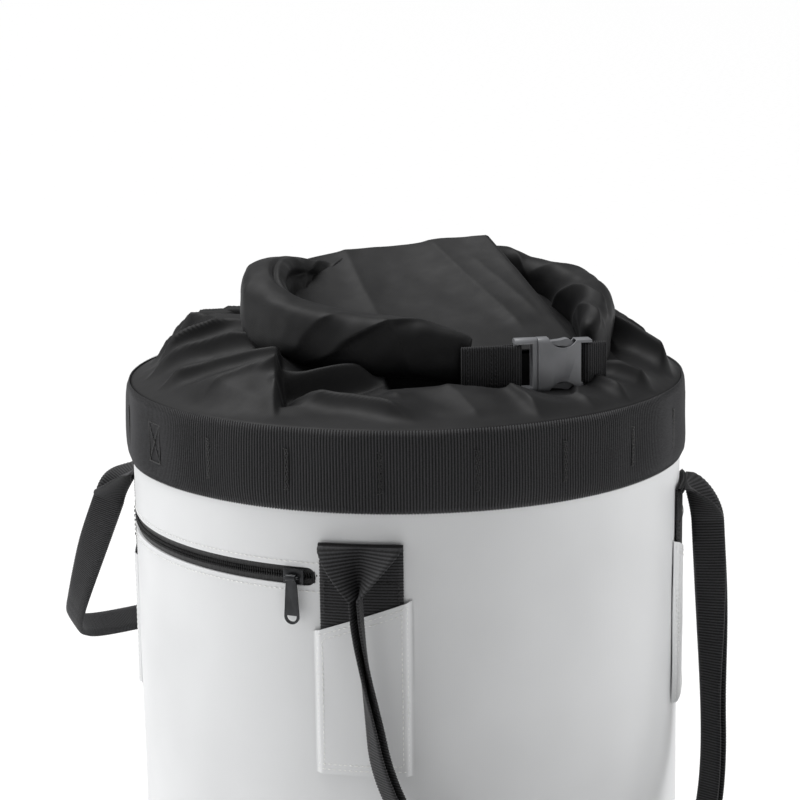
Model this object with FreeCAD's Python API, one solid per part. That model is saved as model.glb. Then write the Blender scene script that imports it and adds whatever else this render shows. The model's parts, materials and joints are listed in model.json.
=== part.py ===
"""Roll-top rope storage bag: a round tarpaulin bucket with a webbing rim band, a rolled nylon collar
closed by a side-release buckle, two webbing carry loops and a zipped wall pocket.

Frame: millimetres, origin at the centre of the base on the ground, +Z up, -Y the front (between the
two anchors of the front carry loop). Angles round the bag are measured from the front towards +X.
"""
import FreeCAD
import Part
import math
import os

V = FreeCAD.Vector
UP = V(0, 0, 1)

# ---- driving dimensions: bucket ---------------------------------------------------------------
BODY_R = 175.0            # outside of the tarpaulin wall
WALL = 1.5                # tarpaulin thickness
BAG_H = 520.0             # ground to the top edge of the rim band
GAP = 0.3                 # play left between two sewn layers
BASE_T = 2.0              # base panel thickness
BOARD_T = 3.0             # stiffening board inside the base
BINDING_H = 26.0          # tape round the foot
TAPE_T = 1.8              # thickness of binding tape and anchor webbing
SEAM_W = 32.0             # lap seam at the back
SEAM_T = 1.0

# ---- rim band ---------------------------------------------------------------------------------
BAND_H = 50.0             # webbing width
BAND_T = 2.4
TACK_COUNT = 20           # gear loops round the band
TACK_FIRST = -95.0        # angle of the box stitch that joins the band's ends
TACK_H = 24.0
TACK_W = 2.6
TACK_T = 0.6
BOX_TACK_W = 14.0
HOOP_WIRE_R = 1.6         # stiffening hoop in the hem
LINING_T = 1.0
LINING_H = 48.0

# ---- zip pocket -------------------------------------------------------------------------------
ZIP_Z = BAG_H - 89.0             # height of the zip's centre line
ZIP_FROM, ZIP_TO = -124.5, -54.0
SLOT_H = 11.0             # window cut in the wall
TAPE_ZIP_T = 0.9
TAPE_ZIP_W = 17.5
COIL_W = 2.7
COIL_T = 1.9
COIL_GAP = 1.4            # between the two coils, where the slider's web runs
SLIDER_REST = -58.3       # slider angle with the pocket shut
SLIDER_L = 13.0
SLIDER_W = 9.0
SLIDER_PLATE = 1.4
WEB_T = 0.8
BAIL_L = 9.0
BAIL_WIRE_R = 0.9
PULL_L = 28.0
PULL_TOP_W = 6.8
PULL_END_W = 9.4
PULL_T = 1.2
PULL_PLAY = 0.3           # between the pull's knuckle and the bail
POCKET_DEPTH = 20.0
POCKET_LOW, POCKET_HIGH = BAG_H - 220.0, BAG_H - 62.0

# ---- carry loops ------------------------------------------------------------------------------
ANCHOR_ANGLE = 45.0       # anchors sit this far each side of front and back
ANCHOR_W = 50.0
ANCHOR_TOP = BAG_H - 66.0
ANCHOR_TAIL = BAG_H - 190.0       # lower end of the anchor webbing, under its cover
ANCHOR_EDGE = BAG_H - 111.0       # height of the cover's slanted top edge at its middle
ANCHOR_SLANT = 19.0       # degrees, lower on the side away from the carry loop
COVER_W = 60.0
COVER_T = 0.9
COVER_LOW = BAG_H - 208.0
FOLD_H = 3.5              # webbing turned outward at the top of the anchor
FOLD_T = 4.0
LOOP_HALF = BODY_R * 26.0 / 35.0         # half the distance between the legs
LOOP_LEG = 110.0          # straight length of each leg
LOOP_T = 5.0              # webbing folded double
LOOP_W = 22.0             # folded width, standing out from the wall
LOOP_IN_R = BODY_R + 6.5         # the loop's inner face, hanging against the wall
LOOP_TOP = BAG_H - 70.5
FRONT_SWING = 5.0         # how far each loop stands away from the wall at rest
REAR_SWING = 34.0

# ---- tie-in loops and drain -------------------------------------------------------------------
TIE_W = 20.0
TIE_T = 2.0
TIE_REACH = 16.0          # how far a tie-in loop stands into the bag
TIE_H = 46.0
TIE_LOW_Z, TIE_HIGH_Z = 40.0, BAG_H - 100.0
DRAIN_Z = 40.0
DRAIN_ANGLE = 150.0
DRAIN_R = 5.0
DRAIN_FLANGE_R = 9.0
DRAIN_FLANGE_T = 1.0

# ---- rolled closure, built in its own frame and then turned round the bag ----------------------
CLOSURE_TURN = -36.0
RING_X, RING_Y = 15.0, -18.0      # middle of the ring of rolled cloth
RING_A, RING_B = 102.0, 65.0      # half length and half depth of its centre line
RING_POWER = 2.5                  # squareness of the centre line
RING_T = 26.0
RING_H = 42.0
RING_LOW = BAG_H + 6.0                  # underside at the front
RING_TILT = 9.0                   # the back stands higher
PANEL_T = 3.0
PANEL_TILT = 18.0
PANEL_FRONT_Z = BAG_H + 28.0
CLOTH_T = 1.6
COLLAR_R = BODY_R - 3.0
COLLAR_CLEAR = 4.4                # between collar and roll
COLLAR_NECK = 4.0                 # the neck's edge lies this far outside the roll's centre line
STRIP_T, STRIP_H = 1.2, 24.0      # stiffening strip rolled into the cloth
STRIP_PLAY = 0.5

# ---- side-release buckle, in the buckle's frame: x along it, y across, z out of the bag --------
BUCKLE_AT = (78.5, -91.0, BAG_H + 20.0)  # middle of the socket's mouth, in the closure's frame
BUCKLE_YAW = 10.0
WEBBING_W = 25.0
WEBBING_T = 1.6
SOCKET_L = 33.0
SOCKET_W = 33.2
SOCKET_TAIL_W = 29.4
SOCKET_T = 10.4
SOCKET_ROUND = 3.4
CAVITY_L = 25.5
CAVITY_T = 6.8
MOUTH_W = 29.0
MOUTH_L = 6.0
WINDOW_R = 9.6
WINDOW_DEPTH = 6.4
BAR_R = 1.3               # half side of the square bars that the webbing turns round
BAR_PLAY = 0.16           # webbing to the corners of a bar
BAR_SLOT = 4.2
PLUG_BACK = 14.0          # length of the plug outside the socket
PLUG_T = 8.4
RAIL_W = 3.3
PLUG_PLAY = 0.3
GUIDE_W = 5.6
GUIDE_T = 4.6
GUIDE_L = 21.0
PRONG_T = 5.8
PRONG_W = 3.0
PRONG_L = 23.0
PRONG_ROOT_R = 1.5
PRONG_RATE = 0.00717      # radians of prong turn for each millimetre that the plug slides
PLUG_TRAVEL = 28.0
TAB_L = 34.0              # plug webbing behind its bar
SOCKET_TAB_L = 13.0

# ---- worked out -------------------------------------------------------------------------------
BODY_IN = BODY_R - WALL
SKIN = BODY_R + GAP                       # where a layer sewn on the wall starts
BAND_OUT = SKIN + BAND_T
SHELL_TOP = BAG_H - 1.0
ANCHOR_OUT = SKIN + TAPE_T
COVER_IN = ANCHOR_OUT + GAP
TAPE_ZIP_OUT = BODY_IN - GAP
COIL_IN = TAPE_ZIP_OUT + 0.1
COIL_OUT = COIL_IN + COIL_T
SLIDER_IN = COIL_OUT + GAP + 0.2
BAIL_R = SLIDER_IN + SLIDER_PLATE + 2.6   # distance of the bail's wire from the bag's axis
KNUCKLE_R = BAIL_WIRE_R + PULL_PLAY + 0.9
EYE_R = BAR_R * math.sqrt(2) + BAR_PLAY   # inside of the webbing where it turns round a bar
HINGE_Y = math.sqrt(LOOP_IN_R ** 2 - LOOP_HALF ** 2) + LOOP_W / 2
RING_START, RING_END = -27.0, 280.0       # the roll runs this way round, from socket to plug


def turned(shape, angle):
    """A copy of shape turned round the bag's axis."""
    copy = shape.copy()
    copy.rotate(V(0, 0, 0), UP, angle)
    return copy


def tube(r_in, r_out, low, high):
    outer = Part.makeCylinder(r_out, high - low, V(0, 0, low))
    return outer.cut(Part.makeCylinder(r_in, high - low, V(0, 0, low)))


def sector(r_in, r_out, low, high, start, end):
    """A piece of tube between two angles round the bag."""
    span = end - start
    outer = Part.makeCylinder(r_out, high - low, V(0, 0, low), UP, span)
    piece = outer.cut(Part.makeCylinder(r_in, high - low, V(0, 0, low)))
    return turned(piece, start - 90.0)


def patch(r_in, r_out, low, high, width, angle):
    """A piece of tube of a given width, centred on an angle."""
    half = math.degrees(width / 2.0 / r_out)
    return sector(r_in, r_out, low, high, angle - half, angle + half)


def box(x0, x1, y0, y1, z0, z1):
    return Part.makeBox(x1 - x0, y1 - y0, z1 - z0, V(x0, y0, z0))


def prism(points, direction):
    """The polygon through points, extruded along direction."""
    loop = Part.makePolygon([V(*p) for p in points] + [V(*points[0])])
    return Part.Face(loop).extrude(V(*direction))


# ---- bucket -----------------------------------------------------------------------------------
def body_shell():
    shell = tube(BODY_IN, BODY_R, BASE_T + GAP, SHELL_TOP)
    slot = sector(BODY_IN - 1, BODY_R + 1, ZIP_Z - SLOT_H / 2, ZIP_Z + SLOT_H / 2, ZIP_FROM, ZIP_TO)
    return shell.cut(slot).cut(drain_bore(DRAIN_R + 1.2))


def radial_cylinder(radius, r_from, r_to, z, angle):
    rod = Part.makeCylinder(radius, r_to - r_from, V(0, -r_from, z), V(0, -1, 0))
    return turned(rod, angle)


def drain_bore(radius):
    return radial_cylinder(radius, BODY_R - 12, BODY_R + 12, DRAIN_Z, DRAIN_ANGLE)


def drain_eyelet():
    """A short sleeve with one flange, set in the wall from outside."""
    flat = BODY_R + GAP
    sleeve = radial_cylinder(DRAIN_R + 1.0, BODY_IN - 2.4, flat, DRAIN_Z, DRAIN_ANGLE)
    flange = radial_cylinder(DRAIN_FLANGE_R, flat, flat + DRAIN_FLANGE_T, DRAIN_Z, DRAIN_ANGLE)
    return sleeve.fuse(flange).cut(drain_bore(DRAIN_R))


def drain_washer():
    inner = BODY_IN - 1.0 - DRAIN_FLANGE_T
    ring = radial_cylinder(DRAIN_FLANGE_R, inner, inner + DRAIN_FLANGE_T, DRAIN_Z, DRAIN_ANGLE)
    return ring.cut(drain_bore(DRAIN_R + 1.1))


def base_panel():
    return Part.makeCylinder(BODY_R, BASE_T)


def base_board():
    return Part.makeCylinder(BODY_IN - 3.0, BOARD_T, V(0, 0, BASE_T + GAP))


def back_seam():
    return patch(SKIN, SKIN + SEAM_T, BINDING_H + 2, BAG_H - BAND_H - 2, SEAM_W, 180.0)


# ---- rim --------------------------------------------------------------------------------------
def rim_band():
    return tube(SKIN, BAND_OUT, BAG_H - BAND_H, BAG_H)


def band_tacks():
    """Bar tacks that divide the band into gear loops, with one box stitch over its joint."""
    low = BAG_H - BAND_H / 2 - TACK_H / 2
    face = BAND_OUT + 0.1
    step = 360.0 / TACK_COUNT
    tacks = [patch(face, face + TACK_T, low - 1, low + TACK_H + 1, BOX_TACK_W, TACK_FIRST)]
    for k in range(1, TACK_COUNT):
        tacks.append(patch(face, face + TACK_T, low, low + TACK_H, TACK_W, TACK_FIRST + k * step))
    return Part.makeCompound(tacks)


def rim_hoop():
    ring_r = BODY_IN - GAP - HOOP_WIRE_R - 1.0
    return Part.makeTorus(ring_r, HOOP_WIRE_R, V(0, 0, SHELL_TOP - HOOP_WIRE_R - 1.4))


def rim_lining():
    outer = BODY_IN - 2 * (GAP + HOOP_WIRE_R) - 1.3
    return tube(outer - LINING_T, outer, SHELL_TOP - LINING_H, SHELL_TOP - 0.5)


# ---- zip pocket -------------------------------------------------------------------------------
def zip_tape(side):
    near = ZIP_Z + side * (COIL_GAP / 2 - 0.1)
    far = ZIP_Z + side * TAPE_ZIP_W
    low, high = min(near, far), max(near, far)
    return sector(TAPE_ZIP_OUT - TAPE_ZIP_T, TAPE_ZIP_OUT, low, high, ZIP_FROM - 2.5, ZIP_TO + 2.5)


def zip_coil(side):
    near = ZIP_Z + side * COIL_GAP / 2
    far = near + side * COIL_W
    low, high = min(near, far), max(near, far)
    return sector(COIL_IN, COIL_OUT, low, high, ZIP_FROM + 0.7, ZIP_TO - 0.7)


def zip_stops():
    """A moulded stop across both coils at each end of the zip."""
    half = COIL_GAP / 2 + COIL_W
    stops = [patch(COIL_IN, COIL_OUT + 0.6, ZIP_Z - half, ZIP_Z + half, 1.2, ZIP_FROM + 0.3),
             patch(COIL_IN, COIL_OUT + 0.6, ZIP_Z - half, ZIP_Z + half, 1.2, ZIP_TO - 0.3)]
    return Part.makeCompound(stops)


def zip_slider():
    """Outer plate with its bail, inner plate behind the tapes, and the thin web that joins them."""
    half_w = SLIDER_W / 2
    tape_in = TAPE_ZIP_OUT - TAPE_ZIP_T
    top = patch(SLIDER_IN, SLIDER_IN + SLIDER_PLATE, ZIP_Z - half_w, ZIP_Z + half_w, SLIDER_L, 0)
    under = patch(tape_in - GAP - SLIDER_PLATE, tape_in - GAP, ZIP_Z - half_w, ZIP_Z + half_w,
                  SLIDER_L, 0)
    web = patch(tape_in - 1.0, SLIDER_IN + 0.5, ZIP_Z - WEB_T / 2, ZIP_Z + WEB_T / 2, SLIDER_L - 3, 0)
    bar = Part.makeCylinder(BAIL_WIRE_R, BAIL_L, V(-BAIL_L / 2, -BAIL_R, ZIP_Z), V(1, 0, 0))
    slider = top.fuse(under).fuse(web).fuse(bar)
    for x in (-BAIL_L / 2, BAIL_L / 2 - 1.2):
        post = box(x, x + 1.2, -BAIL_R, -SLIDER_IN - 0.7, ZIP_Z - BAIL_WIRE_R, ZIP_Z + BAIL_WIRE_R)
        slider = slider.fuse(post)
    return turned(slider.removeSplitter(), SLIDER_REST)


def zip_pull():
    """A flat tapered tab hanging from a knuckle on the bail, with a window in its lower end."""
    length = BAIL_L - 2 * (1.2 + PULL_PLAY)
    knuckle = Part.makeCylinder(KNUCKLE_R, length, V(-length / 2, -BAIL_R, ZIP_Z), V(1, 0, 0))
    end_r = PULL_END_W / 2
    y0 = -BAIL_R - PULL_T / 2
    low = ZIP_Z - PULL_L + end_r
    plate = prism([(-length / 2, y0, ZIP_Z - 1), (length / 2, y0, ZIP_Z - 1),
                   (PULL_TOP_W / 2, y0, ZIP_Z - 4), (end_r, y0, low),
                   (-end_r, y0, low), (-PULL_TOP_W / 2, y0, ZIP_Z - 4)], (0, PULL_T, 0))
    plate = plate.fuse(Part.makeCylinder(end_r, PULL_T, V(0, y0, low), V(0, 1, 0)))
    window_r = end_r - 1.5
    window = Part.makeCylinder(window_r, PULL_T + 2, V(0, y0 - 1, low), V(0, 1, 0))
    window = window.common(box(-end_r, end_r, y0 - 1, y0 + PULL_T + 1, low - end_r, low + 0.6))
    bore = Part.makeCylinder(BAIL_WIRE_R + PULL_PLAY, BAIL_L, V(-BAIL_L / 2, -BAIL_R, ZIP_Z), V(1, 0, 0))
    return turned(knuckle.fuse(plate).cut(window).cut(bore).removeSplitter(), SLIDER_REST)


def pocket_liner():
    """The pouch inside the wall: a shallow tray whose open side lies against the tarpaulin."""
    outer_r = TAPE_ZIP_OUT - TAPE_ZIP_T - GAP
    start, end = ZIP_FROM - 3.5, ZIP_TO + 3.5
    edge = math.degrees(1.5 / outer_r)
    tray = sector(outer_r - POCKET_DEPTH, outer_r, POCKET_LOW, POCKET_HIGH, start, end)
    hollow = sector(outer_r - POCKET_DEPTH + 1.2, outer_r + 1, POCKET_LOW + 1.2, POCKET_HIGH - 1.2,
                    start + edge, end - edge)
    return tray.cut(hollow)


# ---- carry loops ------------------------------------------------------------------------------
def below_slant(middle, slope, lift):
    """Everything under the cover's slanted edge, for an anchor at the front, raised by lift."""
    size = 400.0
    under = box(-size, size, -2 * size, 0, middle + lift - size, middle + lift)
    under.rotate(V(0, 0, middle + lift), V(0, -1, 0), slope)
    return under


def anchor(angle):
    """Anchor webbing sewn flat on the wall, with its top turned outward."""
    tail = patch(SKIN, ANCHOR_OUT, ANCHOR_TAIL, ANCHOR_TOP, ANCHOR_W, 0)
    fold = patch(SKIN, SKIN + FOLD_T, ANCHOR_TOP - FOLD_H, ANCHOR_TOP, ANCHOR_W, 0)
    return turned(tail.fuse(fold).removeSplitter(), angle)


def anchor_cover(angle, slope):
    """Tarpaulin patch over the anchor's tail, with a slanted top edge."""
    cover = patch(COVER_IN, COVER_IN + COVER_T, COVER_LOW, ANCHOR_TOP, COVER_W, 0)
    return turned(cover.common(below_slant(ANCHOR_EDGE, slope, 0.0)), angle)


def arch(half, top, leg):
    """A U outline in the XZ plane as a face: two legs and a half circle below them."""
    z = top - leg
    left, right = V(-half, 0, top), V(half, 0, top)
    edges = [Part.LineSegment(right, V(half, 0, z)).toShape(),
             Part.Arc(V(half, 0, z), V(0, 0, z - half), V(-half, 0, z)).toShape(),
             Part.LineSegment(V(-half, 0, z), left).toShape(),
             Part.LineSegment(left, right).toShape()]
    return Part.Face(Part.Wire(edges))


def carry_loop(angle, swing):
    """Webbing folded double, hanging in a U that follows the wall, swung out on its two ends."""
    reach = LOOP_IN_R + LOOP_W + 20
    outer = arch(LOOP_HALF + LOOP_T / 2, LOOP_TOP, LOOP_LEG).extrude(V(0, -reach, 0))
    inner = arch(LOOP_HALF - LOOP_T / 2, LOOP_TOP + 1, LOOP_LEG + 1).extrude(V(0, -reach, 0))
    low = LOOP_TOP - LOOP_LEG - LOOP_HALF - 10
    wall = Part.makeCylinder(LOOP_IN_R, LOOP_TOP + 5 - low, V(0, 0, low))
    away = wall.copy()
    away.translate(V(0, -LOOP_W, 0))
    strap = outer.cut(inner).common(away.cut(wall))
    strap.rotate(V(0, -HINGE_Y, LOOP_TOP), V(-1, 0, 0), swing)
    return turned(strap, angle)


# ---- inside the bag ---------------------------------------------------------------------------
def tie_in_loop(z, angle):
    """A webbing loop sewn to the inside of the wall, for the end of the rope."""
    back = BODY_IN - GAP
    half = TIE_H / 2
    outline = [(0, -back + 2, z - half), (0, -back + 2, z + half), (0, -back + 2 + TIE_T, z + half),
               (0, -back + TIE_REACH, z + half / 2), (0, -back + TIE_REACH, z - half / 2),
               (0, -back + 2 + TIE_T, z - half)]
    hole = [(0, -back + 2 + TIE_T, z - half + 3.5), (0, -back + 2 + TIE_T, z + half - 3.5),
            (0, -back + TIE_REACH - TIE_T, z + half / 2 - 1),
            (0, -back + TIE_REACH - TIE_T, z - half / 2 + 1)]
    loop = prism(outline, (TIE_W, 0, 0)).cut(prism(hole, (TIE_W, 0, 0)))
    loop.translate(V(-TIE_W / 2, 0, 0))
    return turned(loop, angle)


# ---- rolled closure ---------------------------------------------------------------------------
def ring_point(turn, offset):
    """A point of the ring's centre line, moved outward by offset. turn runs once round from +X."""
    c, s = math.cos(turn), math.sin(turn)
    k = 2.0 / RING_POWER
    x = RING_A * math.copysign(abs(c) ** k, c)
    y = RING_B * math.copysign(abs(s) ** k, s)
    nx = math.copysign(abs(x / RING_A) ** (RING_POWER - 1) / RING_A, x)
    ny = math.copysign(abs(y / RING_B) ** (RING_POWER - 1) / RING_B, y)
    size = math.hypot(nx, ny)
    return V(RING_X + x + offset * nx / size, RING_Y + y + offset * ny / size, 0)


def ring_curve(offset, start, end, count):
    turns = [math.radians(start + (end - start) * i / (count - 1)) for i in range(count)]
    curve = Part.BSplineCurve()
    curve.interpolate([ring_point(t, offset) for t in turns])
    return curve.toShape()


def ring_loop(offset, count=24):
    curve = Part.BSplineCurve()
    curve.interpolate([ring_point(2 * math.pi * i / count, offset) for i in range(count)],
                      PeriodicFlag=True)
    return Part.Wire([curve.toShape()])


def tilted(shape, angle, y, z):
    shape.rotate(V(0, y, z), V(1, 0, 0), angle)
    return shape


def ring_band(half_t, low, high, start, end, count=26):
    """Part of the ring as a flat band on edge, half_t each side of the centre line."""
    outer, inner = ring_curve(half_t, start, end, count), ring_curve(-half_t, start, end, count)
    a, b = outer.Vertexes[0].Point, inner.Vertexes[0].Point
    c, d = outer.Vertexes[-1].Point, inner.Vertexes[-1].Point
    wire = Part.Wire(Part.__sortEdges__([outer, inner, Part.LineSegment(a, b).toShape(),
                                         Part.LineSegment(c, d).toShape()]))
    band = Part.Face(wire).extrude(V(0, 0, high - low))
    band.translate(V(0, 0, low))
    return tilted(band, RING_TILT, RING_Y - RING_B, RING_LOW)


def on_bag(shape):
    """From the closure's frame to the bag's frame."""
    return turned(shape, CLOSURE_TURN)


def buckle_room(shape):
    """shape without the room that the buckle, its webbing and the plug's travel need."""
    room = WEBBING_T + 1.4
    plug_way = box(-PLUG_BACK - TAB_L - PLUG_TRAVEL - 3, -PLUG_BACK - 4,
                   -WEBBING_W / 2 - 1, WEBBING_W / 2 + 1, -room - 1, room + 1)
    socket_way = box(-PLUG_BACK - PLUG_TRAVEL, SOCKET_L + SOCKET_TAB_L + 1, -SOCKET_W / 2 - 1,
                     SOCKET_W / 2 + 1, -SOCKET_T / 2 - 1, SOCKET_T / 2 + 1)
    return shape.cut(in_closure(plug_way)).cut(in_closure(socket_way)).removeSplitter()


def rolled_neck():
    """The roll of cloth on edge, with a slot for the strip at its heart."""
    roll = ring_band(RING_T / 2, RING_LOW, RING_LOW + RING_H, RING_START, RING_END)
    strip = ring_band(STRIP_T / 2 + STRIP_PLAY, RING_LOW - 5, RING_LOW + STRIP_H + 8, 20, 235)
    return on_bag(buckle_room(roll.cut(strip)))


def neck_panel():
    """The neck's front cloth, stretched flat inside the roll."""
    inside = Part.Face(ring_loop(-RING_T / 2 - GAP)).extrude(V(0, 0, 200))
    inside.translate(V(0, 0, RING_LOW - 60))
    inside = tilted(inside, RING_TILT, RING_Y - RING_B, RING_LOW)
    slab = box(-300, 300, -300, 300, PANEL_FRONT_Z - PANEL_T, PANEL_FRONT_Z)
    slab = tilted(slab, PANEL_TILT, RING_Y - RING_B + RING_T / 2, PANEL_FRONT_Z)
    return on_bag(buckle_room(inside.common(slab)))


def closure_strip():
    """Plastic strip sewn in the collar's hem, at the heart of the roll."""
    return on_bag(ring_band(STRIP_T / 2, RING_LOW + 4, RING_LOW + 4 + STRIP_H, 22, 233))


def collar():
    """Gathered cloth from the rim to the underside of the roll, closed by the folded neck."""
    def wires(inset, drop):
        rim = Part.BSplineCurve()
        count = 24
        r = COLLAR_R - inset
        rim.interpolate([V(r * math.cos(2 * math.pi * i / count), r * math.sin(2 * math.pi * i / count),
                           BAG_H - 0.4 - drop) for i in range(count)], PeriodicFlag=True)
        neck = ring_loop(COLLAR_NECK - inset)
        neck.translate(V(0, 0, RING_LOW - COLLAR_CLEAR - drop))
        return Part.Wire([rim.toShape()]), tilted(neck, RING_TILT, RING_Y - RING_B, RING_LOW)

    outer = Part.makeLoft(list(wires(0.0, 0.0)), True, False)
    inner = Part.makeLoft(list(wires(CLOTH_T, CLOTH_T)), True, False)
    return on_bag(outer.cut(inner))


# ---- buckle -----------------------------------------------------------------------------------
def in_closure(shape):
    """From the buckle's frame (x along, y across, z outward) to the closure's frame."""
    shape = shape.copy()
    shape.rotate(V(0, 0, 0), V(1, 0, 0), 90)
    shape.rotate(V(0, 0, 0), UP, BUCKLE_YAW)
    shape.translate(V(*BUCKLE_AT))
    return shape


def rounded_bar(width, thick, radius, x0, x1):
    """A bar along x with a rounded rectangular section."""
    hw, ht = width / 2 - radius, thick / 2 - radius
    core = box(x0, x1, -width / 2, width / 2, -ht, ht).fuse(box(x0, x1, -hw, hw, -thick / 2, thick / 2))
    for y in (-hw, hw):
        for z in (-ht, ht):
            core = core.fuse(Part.makeCylinder(radius, x1 - x0, V(x0, y, z), V(1, 0, 0)))
    return core.removeSplitter()


def socket():
    """The buckle's socket: a flat sleeve with thumb windows and a bar for its webbing."""
    half, tail = SOCKET_W / 2, SOCKET_TAIL_W / 2
    outline = [(0, -half, -20), (MOUTH_L, -half, -20), (SOCKET_L - 8, -tail, -20), (SOCKET_L, -tail, -20),
               (SOCKET_L, tail, -20), (SOCKET_L - 8, tail, -20), (MOUTH_L, half, -20), (0, half, -20)]
    sleeve = rounded_bar(SOCKET_W, SOCKET_T, SOCKET_ROUND, 0, SOCKET_L)
    sleeve = sleeve.common(prism(outline, (0, 0, 40)))
    sleeve = sleeve.cut(box(-1, CAVITY_L, -MOUTH_W / 2, MOUTH_W / 2, -CAVITY_T / 2, CAVITY_T / 2))
    middle = MOUTH_L + WINDOW_R
    for side in (-1, 1):
        edge = side * (half + WINDOW_R - WINDOW_DEPTH)
        sleeve = sleeve.cut(Part.makeCylinder(WINDOW_R, 40, V(middle, edge, -20)))
    slot_end = SOCKET_L - 2 * BAR_R
    sleeve = sleeve.cut(box(slot_end - BAR_SLOT, slot_end, -WEBBING_W / 2 - 0.6, WEBBING_W / 2 + 0.6,
                            -20, 20))
    for side in (-1, 1):
        z0, z1 = (BAR_R, 20) if side > 0 else (-20, -BAR_R)
        sleeve = sleeve.cut(box(slot_end - 1, SOCKET_L + 1, -WEBBING_W / 2 - 0.6, WEBBING_W / 2 + 0.6, z0, z1))
    return sleeve.removeSplitter()


def plug():
    """The plug's frame outside the socket, with its webbing bar and the guide between the prongs."""
    half = SOCKET_W / 2
    frame = rounded_bar(SOCKET_W, PLUG_T, SOCKET_ROUND - 0.6, -PLUG_BACK, -PLUG_PLAY)
    inside = half - RAIL_W
    frame = frame.cut(box(-PLUG_BACK + 2 * BAR_R, -PLUG_PLAY - 3.0, -inside, inside, -20, 20))
    for z0, z1 in ((BAR_R, 20), (-20, -BAR_R)):
        frame = frame.cut(box(-PLUG_BACK - 1, -PLUG_BACK + 2 * BAR_R + 1, -inside, inside, z0, z1))
    guide = rounded_bar(GUIDE_W, GUIDE_T, 1.0, -PLUG_PLAY - 1.0, GUIDE_L)
    return frame.fuse(guide).removeSplitter()


def prong(side):
    """One spring prong. Its outer edge rises no faster than the turning prong draws it in."""
    wall = MOUTH_W / 2 - PLUG_PLAY
    root_x = PRONG_ROOT_R - 0.1
    root_y = wall - PRONG_ROOT_R
    peak = 18.0

    def rise(x):
        return wall + max(0.0, (x - root_x) * PRONG_RATE * (x - MOUTH_L)) * 0.9

    steps = [MOUTH_L + (peak - MOUTH_L) * i / 4 for i in range(5)]
    edge = [V(x, rise(x), 0) for x in steps]
    tip = V(PRONG_L, root_y - 3.0, 0)
    outer = Part.BSplineCurve()
    outer.interpolate([V(root_x, wall, 0)] + edge + [V(PRONG_L - 1.2, rise(peak) - 2.6, 0), tip])
    back = [V(PRONG_L - 3.6, root_y - 2.4, 0), V(13.0, root_y - 1.0, 0), V(root_x, wall - PRONG_W, 0)]
    lines = [Part.LineSegment(a, b).toShape() for a, b in zip([tip] + back, back + [V(root_x, wall, 0)])]
    body = Part.Face(Part.Wire([outer.toShape()] + lines)).extrude(V(0, 0, PRONG_T))
    root = Part.makeCylinder(PRONG_ROOT_R, PRONG_T, V(root_x, root_y, 0))
    shape = body.fuse(root).removeSplitter()
    shape.translate(V(0, 0, -PRONG_T / 2))
    if side < 0:
        shape = shape.mirror(V(0, 0, 0), V(0, 1, 0))
    return shape


def webbing_turn(bar_x, way, length):
    """Webbing that turns round a bar and runs off, doubled, in direction way along x."""
    r_in = EYE_R
    r_out = r_in + WEBBING_T
    join = bar_x + way * 9.0
    end = bar_x + way * length
    y0 = -WEBBING_W / 2

    def profile(r, meet, stop):
        outline = [V(bar_x, y0, r), V(meet, y0, r - r_in), V(stop, y0, r - r_in),
                   V(stop, y0, r_in - r), V(meet, y0, r_in - r), V(bar_x, y0, -r)]
        lines = [Part.LineSegment(a, b).toShape() for a, b in zip(outline[:-1], outline[1:])
                 if a.distanceToPoint(b) > 1e-6]
        turn = Part.Arc(V(bar_x, y0, -r), V(bar_x - way * r, y0, 0), V(bar_x, y0, r)).toShape()
        return Part.Face(Part.Wire(lines + [turn])).extrude(V(0, WEBBING_W, 0))

    eye = [(bar_x, y0 - 1, r_in), (join, y0 - 1, 0), (bar_x, y0 - 1, -r_in)]
    strap = profile(r_out, join, end).cut(prism(eye, (0, WEBBING_W + 2, 0)))
    return strap.cut(Part.makeCylinder(r_in, WEBBING_W + 2, V(bar_x, y0 - 1, 0), V(0, 1, 0)))


def plug_tab():
    return webbing_turn(-PLUG_BACK + BAR_R, -1, TAB_L)


def socket_tab():
    return webbing_turn(SOCKET_L - BAR_R, 1, SOCKET_TAB_L)


def buckle_piece(shape):
    return on_bag(in_closure(shape))


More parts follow.
